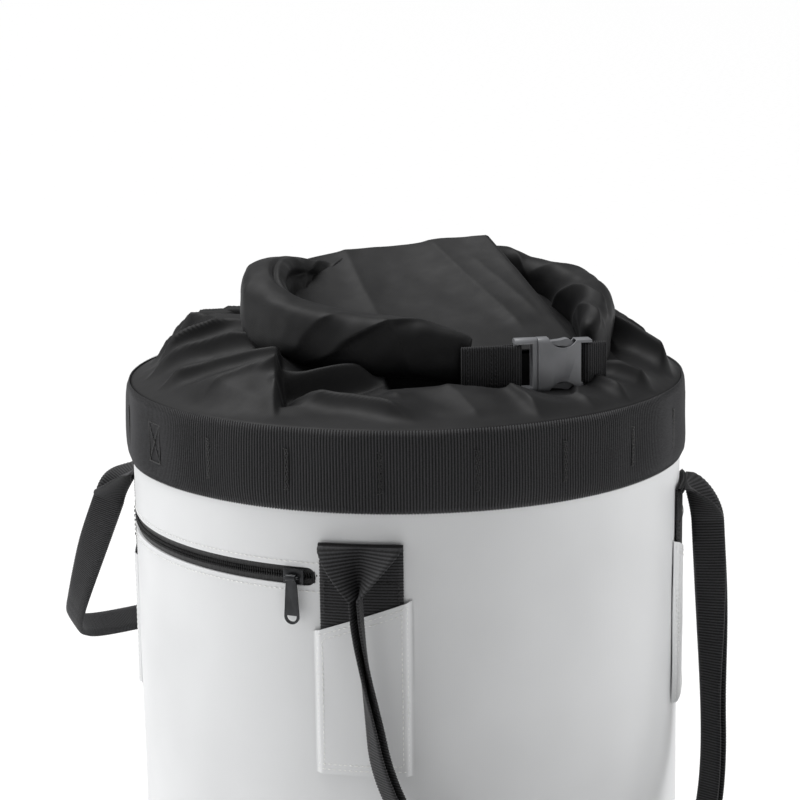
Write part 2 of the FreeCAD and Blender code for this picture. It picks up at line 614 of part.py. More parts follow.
def build():
    """Every piece, by node name."""
    made = {
        "body_shell": body_shell(),
        "back_seam_tape": back_seam(),
        "base_panel": base_panel(),
        "base_board": base_board(),
        "base_binding": tube(SKIN, SKIN + TAPE_T, 0, BINDING_H),
        "drain_eyelet": drain_eyelet(),
        "drain_washer": drain_washer(),
        "rim_band": rim_band(),
        "rim_band_tacks": band_tacks(),
        "rim_hoop": rim_hoop(),
        "rim_lining": rim_lining(),
        "collar": collar(),
        "zip_tape_upper": zip_tape(1),
        "zip_tape_lower": zip_tape(-1),
        "zip_coil_upper": zip_coil(1),
        "zip_coil_lower": zip_coil(-1),
        "zip_stops": zip_stops(),
        "zip_slider": zip_slider(),
        "zip_pull": zip_pull(),
        "pocket_liner": pocket_liner(),
        "tie_in_loop_low": tie_in_loop(TIE_LOW_Z, 180.0),
        "tie_in_loop_high": tie_in_loop(TIE_HIGH_Z, 180.0),
        "carry_loop_front": carry_loop(0.0, FRONT_SWING),
        "carry_loop_rear": carry_loop(180.0, REAR_SWING),
        "rolled_neck": rolled_neck(),
        "neck_panel": neck_panel(),
        "closure_strip": closure_strip(),
        "buckle_socket": buckle_piece(socket()),
        "socket_webbing": buckle_piece(socket_tab()),
        "buckle_plug": buckle_piece(plug()),
        "plug_webbing": buckle_piece(plug_tab()),
        "prong_upper": buckle_piece(prong(1)),
        "prong_lower": buckle_piece(prong(-1)),
    }
    for name, angle, slope in (("front_left", -ANCHOR_ANGLE, ANCHOR_SLANT),
                               ("front_right", ANCHOR_ANGLE, -ANCHOR_SLANT),
                               ("rear_right", 180.0 - ANCHOR_ANGLE, ANCHOR_SLANT),
                               ("rear_left", 180.0 + ANCHOR_ANGLE, -ANCHOR_SLANT)):
        made["anchor_" + name] = anchor(angle)
        made["anchor_cover_" + name] = anchor_cover(angle, slope)
    return made


os.makedirs("parts", exist_ok=True)
for node, shape in build().items():
    shape.exportStep(os.path.join("parts", node + ".step"))
    print("%-26s solids %2d valid %s volume %10.1f" % (node, len(shape.Solids), shape.isValid(),
                                                       shape.Volume))
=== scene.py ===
# %% [markdown]
# # Roll-top rope bag
# A round tarpaulin bucket with a webbing rim, a rolled nylon top, two carry loops and a zip pocket.
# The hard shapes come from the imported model; here the soft goods get their folds, ribs and stitches.

# %% load the frame
import bpy
import bmesh
import json
import math
import numpy as np
from mathutils import Matrix, Vector, noise

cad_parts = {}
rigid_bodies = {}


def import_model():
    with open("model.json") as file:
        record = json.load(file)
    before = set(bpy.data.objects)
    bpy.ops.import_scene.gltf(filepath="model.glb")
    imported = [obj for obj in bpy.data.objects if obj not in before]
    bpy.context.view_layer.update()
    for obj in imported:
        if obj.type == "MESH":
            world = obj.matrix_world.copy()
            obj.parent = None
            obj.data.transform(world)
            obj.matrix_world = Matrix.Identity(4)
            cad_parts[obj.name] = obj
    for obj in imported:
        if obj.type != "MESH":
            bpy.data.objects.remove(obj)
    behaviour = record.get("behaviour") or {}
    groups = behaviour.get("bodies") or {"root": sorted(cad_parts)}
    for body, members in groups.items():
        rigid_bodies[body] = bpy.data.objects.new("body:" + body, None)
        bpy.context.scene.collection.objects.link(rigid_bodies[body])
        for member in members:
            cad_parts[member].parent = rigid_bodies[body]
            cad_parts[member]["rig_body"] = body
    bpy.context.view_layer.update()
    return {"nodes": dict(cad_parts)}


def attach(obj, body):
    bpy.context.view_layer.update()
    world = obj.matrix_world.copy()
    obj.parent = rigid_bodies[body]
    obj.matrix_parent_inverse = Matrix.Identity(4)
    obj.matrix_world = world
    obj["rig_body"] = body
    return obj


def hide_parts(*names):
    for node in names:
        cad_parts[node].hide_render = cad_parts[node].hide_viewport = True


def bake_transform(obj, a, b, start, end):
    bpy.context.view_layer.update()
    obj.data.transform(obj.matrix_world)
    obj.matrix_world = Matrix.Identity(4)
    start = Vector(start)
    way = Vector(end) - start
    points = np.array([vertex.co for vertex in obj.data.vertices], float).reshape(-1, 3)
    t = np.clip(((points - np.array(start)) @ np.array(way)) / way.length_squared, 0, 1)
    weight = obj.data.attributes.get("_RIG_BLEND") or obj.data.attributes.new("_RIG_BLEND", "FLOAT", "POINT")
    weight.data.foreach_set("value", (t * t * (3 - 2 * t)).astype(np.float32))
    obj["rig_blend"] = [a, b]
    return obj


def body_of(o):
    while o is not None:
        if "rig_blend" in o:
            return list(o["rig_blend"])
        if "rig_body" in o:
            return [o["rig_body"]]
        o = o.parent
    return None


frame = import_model()
NODES = frame["nodes"]
MM = 0.001

# %% [markdown]
# ## Camera
# The bag is seen from a little above the rim and from the corner between the zip pocket and the front
# carry loop. A long lens keeps the bucket's sides nearly parallel. The camera comes first, so that every
# later piece can be judged in the picture.

# %% camera
TURN = math.radians(-36)           # the closure and the view are turned this far round the bag


def from_closure(x, y, z):
    """A point of the closure's own frame (x right, y back, z up, in mm) as a place on the bag, in metres."""
    c, s = math.cos(TURN), math.sin(TURN)
    return Vector((x * c - y * s, x * s + y * c, z)) * MM


def place_camera(aim, elevation, distance, lens, roll):
    data = bpy.data.cameras.new("camera")
    data.lens = lens
    data.sensor_width = 36
    data.clip_start, data.clip_end = 0.05, 20
    cam = bpy.data.objects.new("camera", data)
    bpy.context.scene.collection.objects.link(cam)
    e = math.radians(elevation)
    back = from_closure(0, -math.cos(e), math.sin(e)).normalized()
    cam.location = aim + back * distance
    cam.rotation_mode = "QUATERNION"
    turn = Matrix.Rotation(math.radians(roll), 3, "Z").to_quaternion()
    cam.rotation_quaternion = (-back).to_track_quat("-Z", "Y") @ turn
    bpy.context.scene.camera = cam
    return cam


camera = place_camera(from_closure(-3.8, 0, 500), 12.0, 1.5, 105.1, -0.75)
print("camera at", [round(c, 3) for c in camera.location])

# %% [markdown]
# ## Light and floor
# Two big soft boxes stand left and right of the bag, so that its round side is bright at both edges and
# darkest in the middle. A broad soft lamp overhead lights the top of the roll and leaves the front
# of the collar dark. The floor is plain, and the camera sees white beyond it.

# %% studio


def area_light(name, place, aim, size, power):
    data = bpy.data.lights.new(name, "AREA")
    data.shape = "RECTANGLE"
    data.size, data.size_y = size
    data.energy = power
    light = bpy.data.objects.new(name, data)
    bpy.context.scene.collection.objects.link(light)
    light.location = place
    light.rotation_mode = "QUATERNION"
    light.rotation_quaternion = (Vector(aim) - Vector(place)).to_track_quat("-Z", "Y")
    return light


MIDDLE = Vector((0, 0, 0.45))
area_light("left box", from_closure(-1700, -100, 800), MIDDLE, (1.0, 1.4), 11)
area_light("right box", from_closure(1700, 100, 750), MIDDLE, (1.0, 1.4), 10)
overhead = bpy.data.lights.new("overhead", "SUN")
overhead.energy, overhead.angle = 3.0, math.radians(40)
COLLECTION = bpy.context.scene.collection
high = bpy.data.objects.new("overhead", overhead)
COLLECTION.objects.link(high)
high.rotation_mode = "QUATERNION"
high.rotation_quaternion = (-from_closure(-350, 200, 1000)).to_track_quat("-Z", "Y")
world = bpy.data.worlds.new("studio")
bpy.context.scene.world = world
world.use_nodes = True
world.node_tree.nodes["Background"].inputs["Color"].default_value = (1, 1, 1, 1)
dim = world.node_tree.nodes["Background"]
dim.inputs["Strength"].default_value = 0.3
white = world.node_tree.nodes.new("ShaderNodeBackground")
white.inputs["Color"].default_value = (1, 1, 1, 1)
seen = world.node_tree.nodes.new("ShaderNodeLightPath")
choose = world.node_tree.nodes.new("ShaderNodeMixShader")
world.node_tree.links.new(seen.outputs["Is Camera Ray"], choose.inputs["Fac"])
world.node_tree.links.new(dim.outputs["Background"], choose.inputs[1])
world.node_tree.links.new(white.outputs["Background"], choose.inputs[2])
world.node_tree.links.new(choose.outputs["Shader"], world.node_tree.nodes["World Output"].inputs["Surface"])
bpy.context.scene.view_settings.view_transform = "Standard"

# %% [markdown]
# ## Material helpers
# Each finish is a Principled shader fed by a few pattern nodes. One helper adds a node with its settings
# and links, and one turns a colour picked on a screen (sRGB hex) into the linear values that the shader
# works in. Patterns read Object coordinates, which are metres on the bag, so a scale of 1000 is one
# repeat per millimetre or so. Strips of webbing carry their own UV map.

# %% node and colour helpers


def add(tree, kind, inputs=None, **settings):
    """Adds one node. Inputs are values or other nodes' sockets, and settings are the node's own."""
    made = tree.nodes.new(kind)
    for name, value in settings.items():
        setattr(made, name, value)
    for name, value in (inputs or {}).items():
        if isinstance(value, bpy.types.NodeSocket):
            tree.links.new(value, made.inputs[name])
        else:
            made.inputs[name].default_value = value
    return made


def srgb(code):
    """A hex colour as linear red, green, blue and alpha."""
    parts = [int(code[i:i + 2], 16) / 255 for i in (1, 3, 5)]
    return tuple(c / 12.92 if c <= 0.04045 else ((c + 0.055) / 1.055) ** 2.4 for c in parts) + (1.0,)


def new_material(name, **fixed):
    """An empty material with its Principled shader. fixed are constants for the shader's own sockets."""
    material = bpy.data.materials.new(name)
    material.use_nodes = True
    shader = material.node_tree.nodes["Principled BSDF"]
    for socket, value in fixed.items():
        shader.inputs[socket.replace("_", " ")].default_value = value
    return material, material.node_tree, shader


def two_tones(tree, pattern, low, high, start=0.35, stop=0.65):
    """A colour between low and high, picked by pattern."""
    ramp = add(tree, "ShaderNodeValToRGB", {"Fac": pattern})
    ramp.color_ramp.elements[0].position, ramp.color_ramp.elements[1].position = start, stop
    ramp.color_ramp.elements[0].color, ramp.color_ramp.elements[1].color = srgb(low), srgb(high)
    return ramp.outputs["Color"]


def spread(tree, pattern, low, high):
    """A number between low and high, picked by pattern."""
    ranged = add(tree, "ShaderNodeMapRange", {"Value": pattern, "To Min": low, "To Max": high})
    return ranged.outputs["Result"]


def painted(tree, shader, tones, dark, light, gloss, least, most):
    """Colour between dark and light by the tones pattern, roughness between least and most by gloss."""
    tree.links.new(two_tones(tree, tones, dark, light), shader.inputs["Base Color"])
    tree.links.new(spread(tree, gloss, least, most), shader.inputs["Roughness"])


def blotches(tree, scale, detail=3.0):
    """Soft uneven noise; scale is repeats per metre."""
    where = add(tree, "ShaderNodeTexCoord").outputs["Object"]
    return add(tree, "ShaderNodeTexNoise", {"Vector": where, "Scale": scale, "Detail": detail}).outputs["Fac"]


def weave(tree, pitch, turn_to=(0.0, 0.0, 0.0), uv=False):
    """Over-and-under threads pitch mm apart: two crossed waves multiplied."""
    coords = add(tree, "ShaderNodeTexCoord").outputs["UV" if uv else "Object"]
    size = 1.0 if uv else 1000.0
    placed = add(tree, "ShaderNodeMapping", {"Vector": coords, "Rotation": turn_to,
                                             "Scale": (size / pitch, size / pitch, size / pitch)})
    waves = []
    for way in ("X", "Y" if uv else "Z"):
        wave = add(tree, "ShaderNodeTexWave", {"Vector": placed.outputs["Vector"], "Scale": 0.3183,
                                               "Distortion": 0.6, "Detail": 1.0, "Detail Scale": 2.0},
                   bands_direction=way)
        waves.append(wave.outputs["Fac"])
    return add(tree, "ShaderNodeMath", {0: waves[0], 1: waves[1]}, operation="MULTIPLY").outputs["Value"]


def bumped(tree, shader, height, depth, strength=1.0, under=None):
    """Feeds height (0 to 1) into the shader's normal as relief of depth mm."""
    inputs = {"Height": height, "Distance": depth * MM, "Strength": strength}
    if under:
        inputs["Normal"] = under
    normal = add(tree, "ShaderNodeBump", inputs).outputs["Normal"]
    tree.links.new(normal, shader.inputs["Normal"])
    return normal


print("helpers ready")

# %% [markdown]
# ## PVC tarpaulin
# The wall is polyester scrim between two skins of soft PVC. The skin is satin and nearly white, and the
# scrim's square mesh, about 1.2 mm, just prints through it. Broad soft unevenness keeps the highlight
# from running straight down the bucket.

# %% tarpaulin materials


def tarpaulin(name, light, shade, rough, mesh_depth):
    material, tree, shader = new_material(name, IOR=1.52, Coat_Weight=0.08, Coat_Roughness=0.3)
    broad = blotches(tree, 9.0, 2.0)
    painted(tree, shader, broad, shade, light, blotches(tree, 60.0), rough - 0.07, rough + 0.07)
    soft = bumped(tree, shader, broad, 2.2, 0.6)
    bumped(tree, shader, weave(tree, 1.2), mesh_depth, 0.5, soft)
    return material


wall_tarp = tarpaulin("satin_pvc_tarpaulin", "#D3D4D5", "#CACBCC", 0.46, 0.035)
cover_tarp = tarpaulin("welded_pvc_patch", "#D5D6D7", "#CCCDCE", 0.42, 0.03)
lining_cloth = tarpaulin("black_coated_lining", "#29292B", "#1F1F21", 0.55, 0.05)
print("tarpaulins", wall_tarp.name, cover_tarp.name, lining_cloth.name)

# %% [markdown]
# ## Woven webbing and nylon cloth
# The webbing is black polyester: dull, with the ribs made as real relief later. The material adds the yarn's
# twist, and it paints shade into the rib grooves and light onto the crests. The rolled top is a close
# plain-weave nylon with a soft sheen at grazing angles, which Sheen gives. Its threads, about 0.35 mm, are
# drawn 0.9 mm wide so that they show at all.

# %% cloth materials


def webbing_material(name, crest, groove, rough):
    """U counts ribs along the webbing and V is mm across it. The grooves are painted dark as shade and the
    crests painted light, broken up by the yarn.
    """
    material, tree, shader = new_material(name, Specular_IOR_Level=0.22, Sheen_Weight=0.06,
                                          Sheen_Roughness=0.5)
    uv = add(tree, "ShaderNodeTexCoord").outputs["UV"]
    placed = add(tree, "ShaderNodeMapping", {"Vector": uv, "Scale": (0.9, 1.1, 1.0)}).outputs["Vector"]
    yarn = add(tree, "ShaderNodeTexNoise", {"Vector": placed, "Scale": 1.6, "Detail": 3.0}).outputs["Fac"]
    # a wave along U paints shade into the rib grooves and light onto the crests
    u = add(tree, "ShaderNodeSeparateXYZ", {"Vector": uv}).outputs["X"]
    turn = add(tree, "ShaderNodeMath", {0: u, 1: math.tau}, operation="MULTIPLY").outputs["Value"]
    rib = add(tree, "ShaderNodeMath", {0: turn}, operation="COSINE").outputs["Value"]
    rib_light_and_shade = add(tree, "ShaderNodeMath", {0: rib, 1: 0.3, 2: yarn}, operation="MULTIPLY_ADD").outputs["Value"]
    tree.links.new(two_tones(tree, rib_light_and_shade, groove, crest, 0.2, 0.85), shader.inputs["Base Color"])
    tree.links.new(spread(tree, yarn, rough - 0.08, rough + 0.1), shader.inputs["Roughness"])
    bumped(tree, shader, yarn, 0.22, 0.7)
    return material


# 3A3A3C is painted light on the rib crests, #060606 is painted shade in the rib grooves
webbing_black = webbing_material("ribbed_polyester_webbing", "#3A3A3C", "#060606", 0.7)

nylon, tree, shader = new_material("plain_weave_nylon", Specular_IOR_Level=0.22, Sheen_Weight=0.05,
                                   Sheen_Roughness=0.35)
shader.inputs["Sheen Tint"].default_value = srgb("#B9BABD")
worn = blotches(tree, 22.0, 4.0)
painted(tree, shader, worn, "#0E0E0F", "#161617", blotches(tree, 90.0), 0.52, 0.68)
puckered = bumped(tree, shader, worn, 1.6, 0.6)
bumped(tree, shader, weave(tree, 0.9, (0.4, 0.5, 0.6)), 0.06, 0.6, puckered)


def thread_material(name, light, dark):
    """Bonded sewing thread: three plies twisted, so a fine slanted stripe with a slight wax gloss."""
    material, tree, shader = new_material(name, IOR=1.53)
    painted(tree, shader, blotches(tree, 900.0), dark, light, blotches(tree, 500.0), 0.4, 0.6)
    bumped(tree, shader, weave(tree, 0.5, (0.5, 0.5, 0.5)), 0.05)
    return material


black_thread = thread_material("black_bonded_thread", "#1B1B1C", "#0C0C0D")
white_thread = thread_material("white_bonded_thread", "#F6F6F4", "#D6D6D2")

zip_cloth, tree, shader = new_material("herringbone_zip_tape", IOR=1.5, Sheen_Weight=0.2)
painted(tree, shader, weave(tree, 0.8), "#131314", "#222224", blotches(tree, 300.0), 0.6, 0.75)
bumped(tree, shader, weave(tree, 0.8), 0.12)
print("cloths", nylon.name, zip_cloth.name)

# %% [markdown]
# ## Plastics and metals
# The buckle is moulded acetal with a fine spark-eroded grain. The zip's coil is smooth nylon wire, the
# slider and pull are black-painted zinc whose edges polish a little, and the drain eyelet is nickel
# plated brass. The base board and the strip in the roll are sheet polyethylene.

# %% hard materials


def moulded(name, light, dark, rough, grain, depth, ior=1.48):
    """A moulded or rolled plastic: an even colour, uneven gloss and fine grain of grain mm."""
    material, tree, shader = new_material(name, IOR=ior)
    fine = blotches(tree, 1000.0 / grain, 2.0)
    painted(tree, shader, blotches(tree, 45.0), dark, light, fine, rough - 0.06, rough + 0.08)
    bumped(tree, shader, fine, depth, 0.6)
    return material


acetal = moulded("moulded_acetal", "#808184", "#707174", 0.36, 0.5, 0.03)
coil_nylon = moulded("nylon_coil_monofilament", "#1B1B1C", "#0F0F10", 0.55, 1.5, 0.02, 1.33)
board_hdpe = moulded("sheet_polyethylene_board", "#2A2A2B", "#1F1F20", 0.5, 1.2, 0.05, 1.54)
strip_hdpe = moulded("extruded_polyethylene_strip", "#4C4D4F", "#3D3E40", 0.4, 0.8, 0.02, 1.54)
hoop_nylon = moulded("nylon_covered_wire", "#303032", "#222224", 0.45, 0.8, 0.03, 1.53)


def metal(name, colour, dull, metallic, rough, scratch):
    """Metal or painted metal: patches and fine scratches change its gloss."""
    material, tree, shader = new_material(name, Metallic=metallic)
    marks = blotches(tree, scratch, 5.0)
    painted(tree, shader, blotches(tree, 160.0), dull, colour, marks, rough - 0.1, rough + 0.12)
    bumped(tree, shader, marks, 0.02, 0.5)
    return material


zip_metal = metal("black_painted_zinc", "#2F3032", "#202123", 0.55, 0.36, 700.0)
eyelet_metal = metal("nickel_plated_brass", "#C9C7C0", "#B5B3AC", 1.0, 0.3, 900.0)
print("materials made:", len(bpy.data.materials))

# %% [markdown]
# ## Floor
# A wide pale sheet under the bag. It belongs to the picture and not to the bag.

# %% floor
floor_paint = moulded("pale_studio_floor", "#F4F4F4", "#EFEFEF", 0.7, 2.0, 0.02)
bpy.ops.mesh.primitive_grid_add(x_subdivisions=8, y_subdivisions=8, size=400)
floor = bpy.context.object
floor.name = "studio_floor"
floor.data.materials.append(floor_paint)

# %% [markdown]
# ## Making cloth meshes
# Every soft piece starts as a grid of points worked out from real sizes, because cloth is a sheet: rows
# one way, columns the other. A grid is easy to bend, crease and ripple with numbers. The same helper
# closes a grid round the bag or leaves it open, gives it a UV map, and turns all its faces outwards.

# %% mesh helpers

def around(angle, radius, height):
    """Points on the bag, in metres, by angle from the front in degrees, radius and height in mm."""
    a = np.radians(angle)
    return np.stack(np.broadcast_arrays(radius * np.sin(a), -radius * np.cos(a), height), -1) * MM


def closure_points(points):
    """Closure-frame points in mm (an array ending in x, y, z) as places on the bag in metres."""
    p = np.asarray(points, float)
    c, s = math.cos(TURN), math.sin(TURN)
    return np.stack((p[..., 0] * c - p[..., 1] * s, p[..., 0] * s + p[..., 1] * c, p[..., 2]), -1) * MM


def grid_piece(name, points, material, close_rows=False, close_columns=False, uv=None, cap=False, along=None):
    """A mesh from rows x columns of points. uv holds U for the rows and V for the columns."""
    rows, columns = points.shape[:2]
    number = np.arange(rows * columns).reshape(rows, columns)
    if close_rows:
        number = np.vstack((number, number[:1]))
    if close_columns:
        number = np.hstack((number, number[:, :1]))
    quads = np.stack((number[:-1, :-1], number[:-1, 1:], number[1:, 1:], number[1:, :-1]), -1).reshape(-1, 4)
    faces = [tuple(int(i) for i in q) for q in quads]
    mesh = bpy.data.meshes.new(name)
    mesh.from_pydata(points.reshape(-1, 3).tolist(), [], faces)
    if uv is not None:
        u, v = np.asarray(uv[0], float), np.asarray(uv[1], float)
        if close_rows:
            u = np.append(u, 2 * u[-1] - u[-2])
        if close_columns:
            v = np.append(v, 2 * v[-1] - v[-2])
        i, j = np.meshgrid(np.arange(len(u) - 1), np.arange(len(v) - 1), indexing="ij")
        corners = [np.stack((u[i + a], v[j + b]), -1) for a, b in ((0, 0), (0, 1), (1, 1), (1, 0))]
        layer = mesh.uv_layers.new(name="UVMap")
        layer.data.foreach_set("uv", np.stack(corners, 2).reshape(-1).astype(np.float32))
    if along is not None:
        marks = mesh.attributes.new("along", "FLOAT", "POINT")
        marks.data.foreach_set("value", np.repeat(along, columns).astype(np.float32))
    bm = bmesh.new()
    bm.from_mesh(mesh)
    if cap:
        bm.verts.ensure_lookup_table()
        for row in (number[0], number[-1]):
            bm.faces.new([bm.verts[int(i)] for i in (row[:-1] if close_columns else row)])
    bmesh.ops.recalc_face_normals(bm, faces=bm.faces)
    bm.to_mesh(mesh)
    bm.free()
    mesh.shade_smooth()
    mesh.materials.append(material)
    piece = bpy.data.objects.new(name, mesh)
    COLLECTION.objects.link(piece)
    return piece


def settle(piece):
    """Keeps what a piece's modifiers make as its plain mesh, and removes them."""
    graph = bpy.context.evaluated_depsgraph_get()
    mesh = bpy.data.meshes.new_from_object(piece.evaluated_get(graph), preserve_all_data_layers=True,
                                           depsgraph=graph)
    piece.modifiers.clear()
    piece.data = mesh
    return piece


def thickened(piece, thickness, offset):
    """Gives a sheet its thickness in mm. An offset of 1 grows it along its normals, -1 against them."""
    sheet = piece.modifiers.new("sheet", "SOLIDIFY")
    sheet.thickness, sheet.offset = thickness * MM, offset
    return settle(piece)


def run_nodes(piece, group, **values):
    """Runs a Geometry Nodes group on a piece. values are the group's inputs, by name."""
    modifier = piece.modifiers.new(group.name, "NODES")
    modifier.node_group = group
    sockets = {s.name: s.identifier for s in group.interface.items_tree
               if s.item_type == "SOCKET" and s.in_out == "INPUT"}
    for name, value in values.items():
        modifier[sockets[name.replace("_", " ")]] = value
    return settle(piece)


def place(piece, body, *nodes, slot=None):
    """The piece rides on a body and stands for these CAD nodes."""
    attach(piece, body)
    if nodes:
        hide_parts(*nodes)
    return piece


def smooth(x):
    """0 below 0, 1 above 1 and a soft S between."""
    x = np.clip(x, 0, 1)
    return x * x * (3 - 2 * x)


def ripple(points, size, seed, octaves=2):
    """Smooth noise from -1 to 1 at points in mm, with lumps about size mm across."""
    flat = np.asarray(points, float).reshape(-1, 3) / size + seed * 17.3
    values = [sum(noise.noise(Vector(p) * 2 ** k) / 2 ** k for k in range(octaves)) for p in flat]
    return np.array(values).reshape(np.asarray(points).shape[:-1])


print("mesh helpers ready")

# %% [markdown]
# ## Two node groups
# Webbing ribs and rows of stitches are the same small shape again and again, which is what Geometry
# Nodes are for. The first group lifts a strip's surface in a wave along its length, so that the ribs are
# real relief and catch the light. The second lays rounded thread lengths, or zip teeth, along a line.

# %% geometry node groups


def node_group(name, sizes):
    """An empty group with a Geometry input and output, and one input for each size."""
    group = bpy.data.node_groups.new(name, "GeometryNodeTree")
    group.interface.new_socket("Geometry", in_out="INPUT", socket_type="NodeSocketGeometry")
    for label, kind in sizes:
        group.interface.new_socket(label, in_out="INPUT", socket_type="NodeSocket" + kind)
    group.interface.new_socket("Geometry", in_out="OUTPUT", socket_type="NodeSocketGeometry")
    return group, add(group, "NodeGroupInput").outputs


def end_group(group, geometry, material):
    real = add(group, "GeometryNodeRealizeInstances", {"Geometry": geometry}).outputs["Geometry"]
    painted = add(group, "GeometryNodeSetMaterial", {"Geometry": real, "Material": material})
    add(group, "NodeGroupOutput", {"Geometry": painted.outputs["Geometry"]})
    return group


group, given = node_group("webbing_ribs", [("Pitch", "Float"), ("Depth", "Float"), ("Material", "Material")])
marks = add(group, "GeometryNodeInputNamedAttribute", {"Name": "along"}, data_type="FLOAT")
turns = add(group, "ShaderNodeMath", {0: marks.outputs["Attribute"], 1: given["Pitch"]}, operation="DIVIDE")
angle = add(group, "ShaderNodeMath", {0: turns.outputs["Value"], 1: math.tau}, operation="MULTIPLY")
wave = add(group, "ShaderNodeMath", {0: angle.outputs["Value"]}, operation="COSINE")
height = add(group, "ShaderNodeMath", {0: wave.outputs["Value"], 1: given["Depth"]}, operation="MULTIPLY")
normal = add(group, "GeometryNodeInputNormal").outputs["Normal"]
lift = add(group, "ShaderNodeVectorMath", {0: normal, "Scale": height.outputs["Value"]}, operation="SCALE")
ribbed = add(group, "GeometryNodeSetPosition",
             {"Geometry": given["Geometry"], "Offset": lift.outputs["Vector"]})
webbing_ribs = end_group(group, ribbed.outputs["Geometry"], given["Material"])

group, given = node_group("run_of_shapes",
                          [("Spacing", "Float"), ("Size", "Vector"), ("Material", "Material")])
line = add(group, "GeometryNodeMeshToCurve", {"Mesh": given["Geometry"]}).outputs["Curve"]
spaced = add(group, "GeometryNodeResampleCurve", {"Curve": line, "Length": given["Spacing"]}, mode="LENGTH")
tangent = add(group, "GeometryNodeInputTangent").outputs["Tangent"]
facing = add(group, "FunctionNodeAlignRotationToVector", {"Vector": tangent}, axis="X")
bead = add(group, "GeometryNodeMeshUVSphere", {"Segments": 6, "Rings": 5, "Radius": 0.5}).outputs["Mesh"]
laid = add(group, "GeometryNodeInstanceOnPoints", {"Points": spaced.outputs["Curve"], "Instance": bead,
                                                   "Rotation": facing.outputs["Rotation"],
                                                   "Scale": given["Size"]})
rounded = add(group, "GeometryNodeSetShadeSmooth", {"Geometry": laid.outputs["Instances"]})
run_of_shapes = end_group(group, rounded.outputs["Geometry"], given["Material"])


def laid_along(name, lines, spacing, size, material, body="bucket"):
    """Small rounded shapes of size mm (along, across, across) laid every spacing mm along lines of points."""
    points, edges = [], []
    for one in lines:
        edges += [(len(points) + k, len(points) + k + 1) for k in range(len(one) - 1)]
        points += [tuple(p) for p in one]
    mesh = bpy.data.meshes.new(name)
    mesh.from_pydata(points, edges, [])
    mesh.materials.append(material)
    piece = bpy.data.objects.new(name, mesh)
    COLLECTION.objects.link(piece)
    run_nodes(piece, run_of_shapes, Spacing=spacing * MM, Size=[s * MM for s in size], Material=material)
    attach(piece, body)
    return piece


print("groups", [g.name for g in bpy.data.node_groups])

# %% [markdown]
# ## The bucket's wall
# One sheet of tarpaulin is welded into a tube, so the wall is a grid round the bag with very slight waves.
# Solidify gives it its 1.5 mm thickness, and a Boolean with a long rounded cutter opens the zip's window,
# as the real one is punched out of the flat sheet.

# %% wall
WALL_R, WALL_T, RIM_Z = 175.0, 1.5, 512.0
ZIP_Z, ZIP_FROM, ZIP_TO, SLOT_H = 431.0, -124.5, -54.0, 11.0


def wall_wave(angle, height):
    """How far in the wall waves, in mm: nothing at the sewn edges, most between the foot and the band."""
    p = np.stack(np.broadcast_arrays(np.cos(np.radians(angle)) * 60, np.sin(np.radians(angle)) * 60,
                                     height / 3.0), -1)
    calm = smooth(height / 120) * smooth((470 - height) / 90)
    return (-0.6 + 0.6 * ripple(p, 34.0, 3)) * calm


def slot_cutter():
    """A bar with rounded ends, bent round the wall, that cuts the zip's window."""
    end = math.degrees(SLOT_H / 2 / WALL_R)
    turn = np.radians(np.linspace(5, 90, 9))
    straight = np.linspace(ZIP_FROM + end, ZIP_TO - end, 120)[1:-1]
    angles = np.concatenate((ZIP_FROM + end - end * np.cos(turn), straight,
                             (ZIP_TO - end + end * np.cos(turn))[::-1]))
    half = SLOT_H / 2 * np.concatenate((np.sin(turn), np.ones(len(straight)), np.sin(turn)[::-1]))
    corners = ((168.0, -1), (180.0, -1), (180.0, 1), (168.0, 1))
    rings = np.stack([around(angles, r, ZIP_Z + k * half) for r, k in corners], 1)
    return grid_piece("slot_cutter", rings, wall_tarp, close_columns=True, cap=True)


angles = np.linspace(0, 360, 289)[:-1]
heights = np.linspace(0.2, RIM_Z, 100)
A, H = np.meshgrid(angles, heights)
waved = around(A, WALL_R + wall_wave((A + 180) % 360 - 180, H), H)
wall = grid_piece("bucket_wall", waved, wall_tarp, close_columns=True)
thick = wall.modifiers.new("sheet", "SOLIDIFY")
thick.thickness, thick.offset, thick.use_even_offset = WALL_T * MM, -1, True
settle(wall)
cutter = slot_cutter()
cut = wall.modifiers.new("window", "BOOLEAN")
cut.operation, cut.solver, cut.object = "DIFFERENCE", "EXACT", cutter
settle(wall)
bpy.data.objects.remove(cutter)
wall.data.set_sharp_from_angle(angle=math.radians(40))
place(wall, "bucket", "body_shell", slot="tarpaulin")
print("wall", len(wall.data.polygons), "faces")

# %% [markdown]
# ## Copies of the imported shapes
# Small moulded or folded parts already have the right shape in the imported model, but as loose triangles
# with knife-sharp edges. A copy is merged, its flat faces are joined again, and its edges get a small
# bevel, which is what catches light on a real moulding.

# %% finished copies


def finished_copy(name, node, material, edge, segments=2, slot=None):
    """A bevelled copy of a CAD node that stands for it, on the same body. edge is the bevel in mm."""
    mesh = NODES[node].data.copy()
    mesh.materials.clear()
    mesh.materials.append(material)
    piece = bpy.data.objects.new(name, mesh)
    COLLECTION.objects.link(piece)
    bm = bmesh.new()
    bm.from_mesh(mesh)
    bmesh.ops.remove_doubles(bm, verts=bm.verts, dist=2e-6)
    bmesh.ops.dissolve_limit(bm, angle_limit=math.radians(1.0), verts=bm.verts, edges=bm.edges)
    bm.to_mesh(mesh)
    bm.free()
    bevel = piece.modifiers.new("edge", "BEVEL")
    bevel.width, bevel.segments, bevel.limit_method = edge * MM, segments, "ANGLE"
    bevel.angle_limit, bevel.use_clamp_overlap = math.radians(35), True
    settle(piece)
    piece.data.shade_smooth()
    piece.data.set_sharp_from_angle(angle=math.radians(28))
    body = body_of(NODES[node])
    place(piece, body if isinstance(body, str) else body[0], node, slot=slot)
    return piece


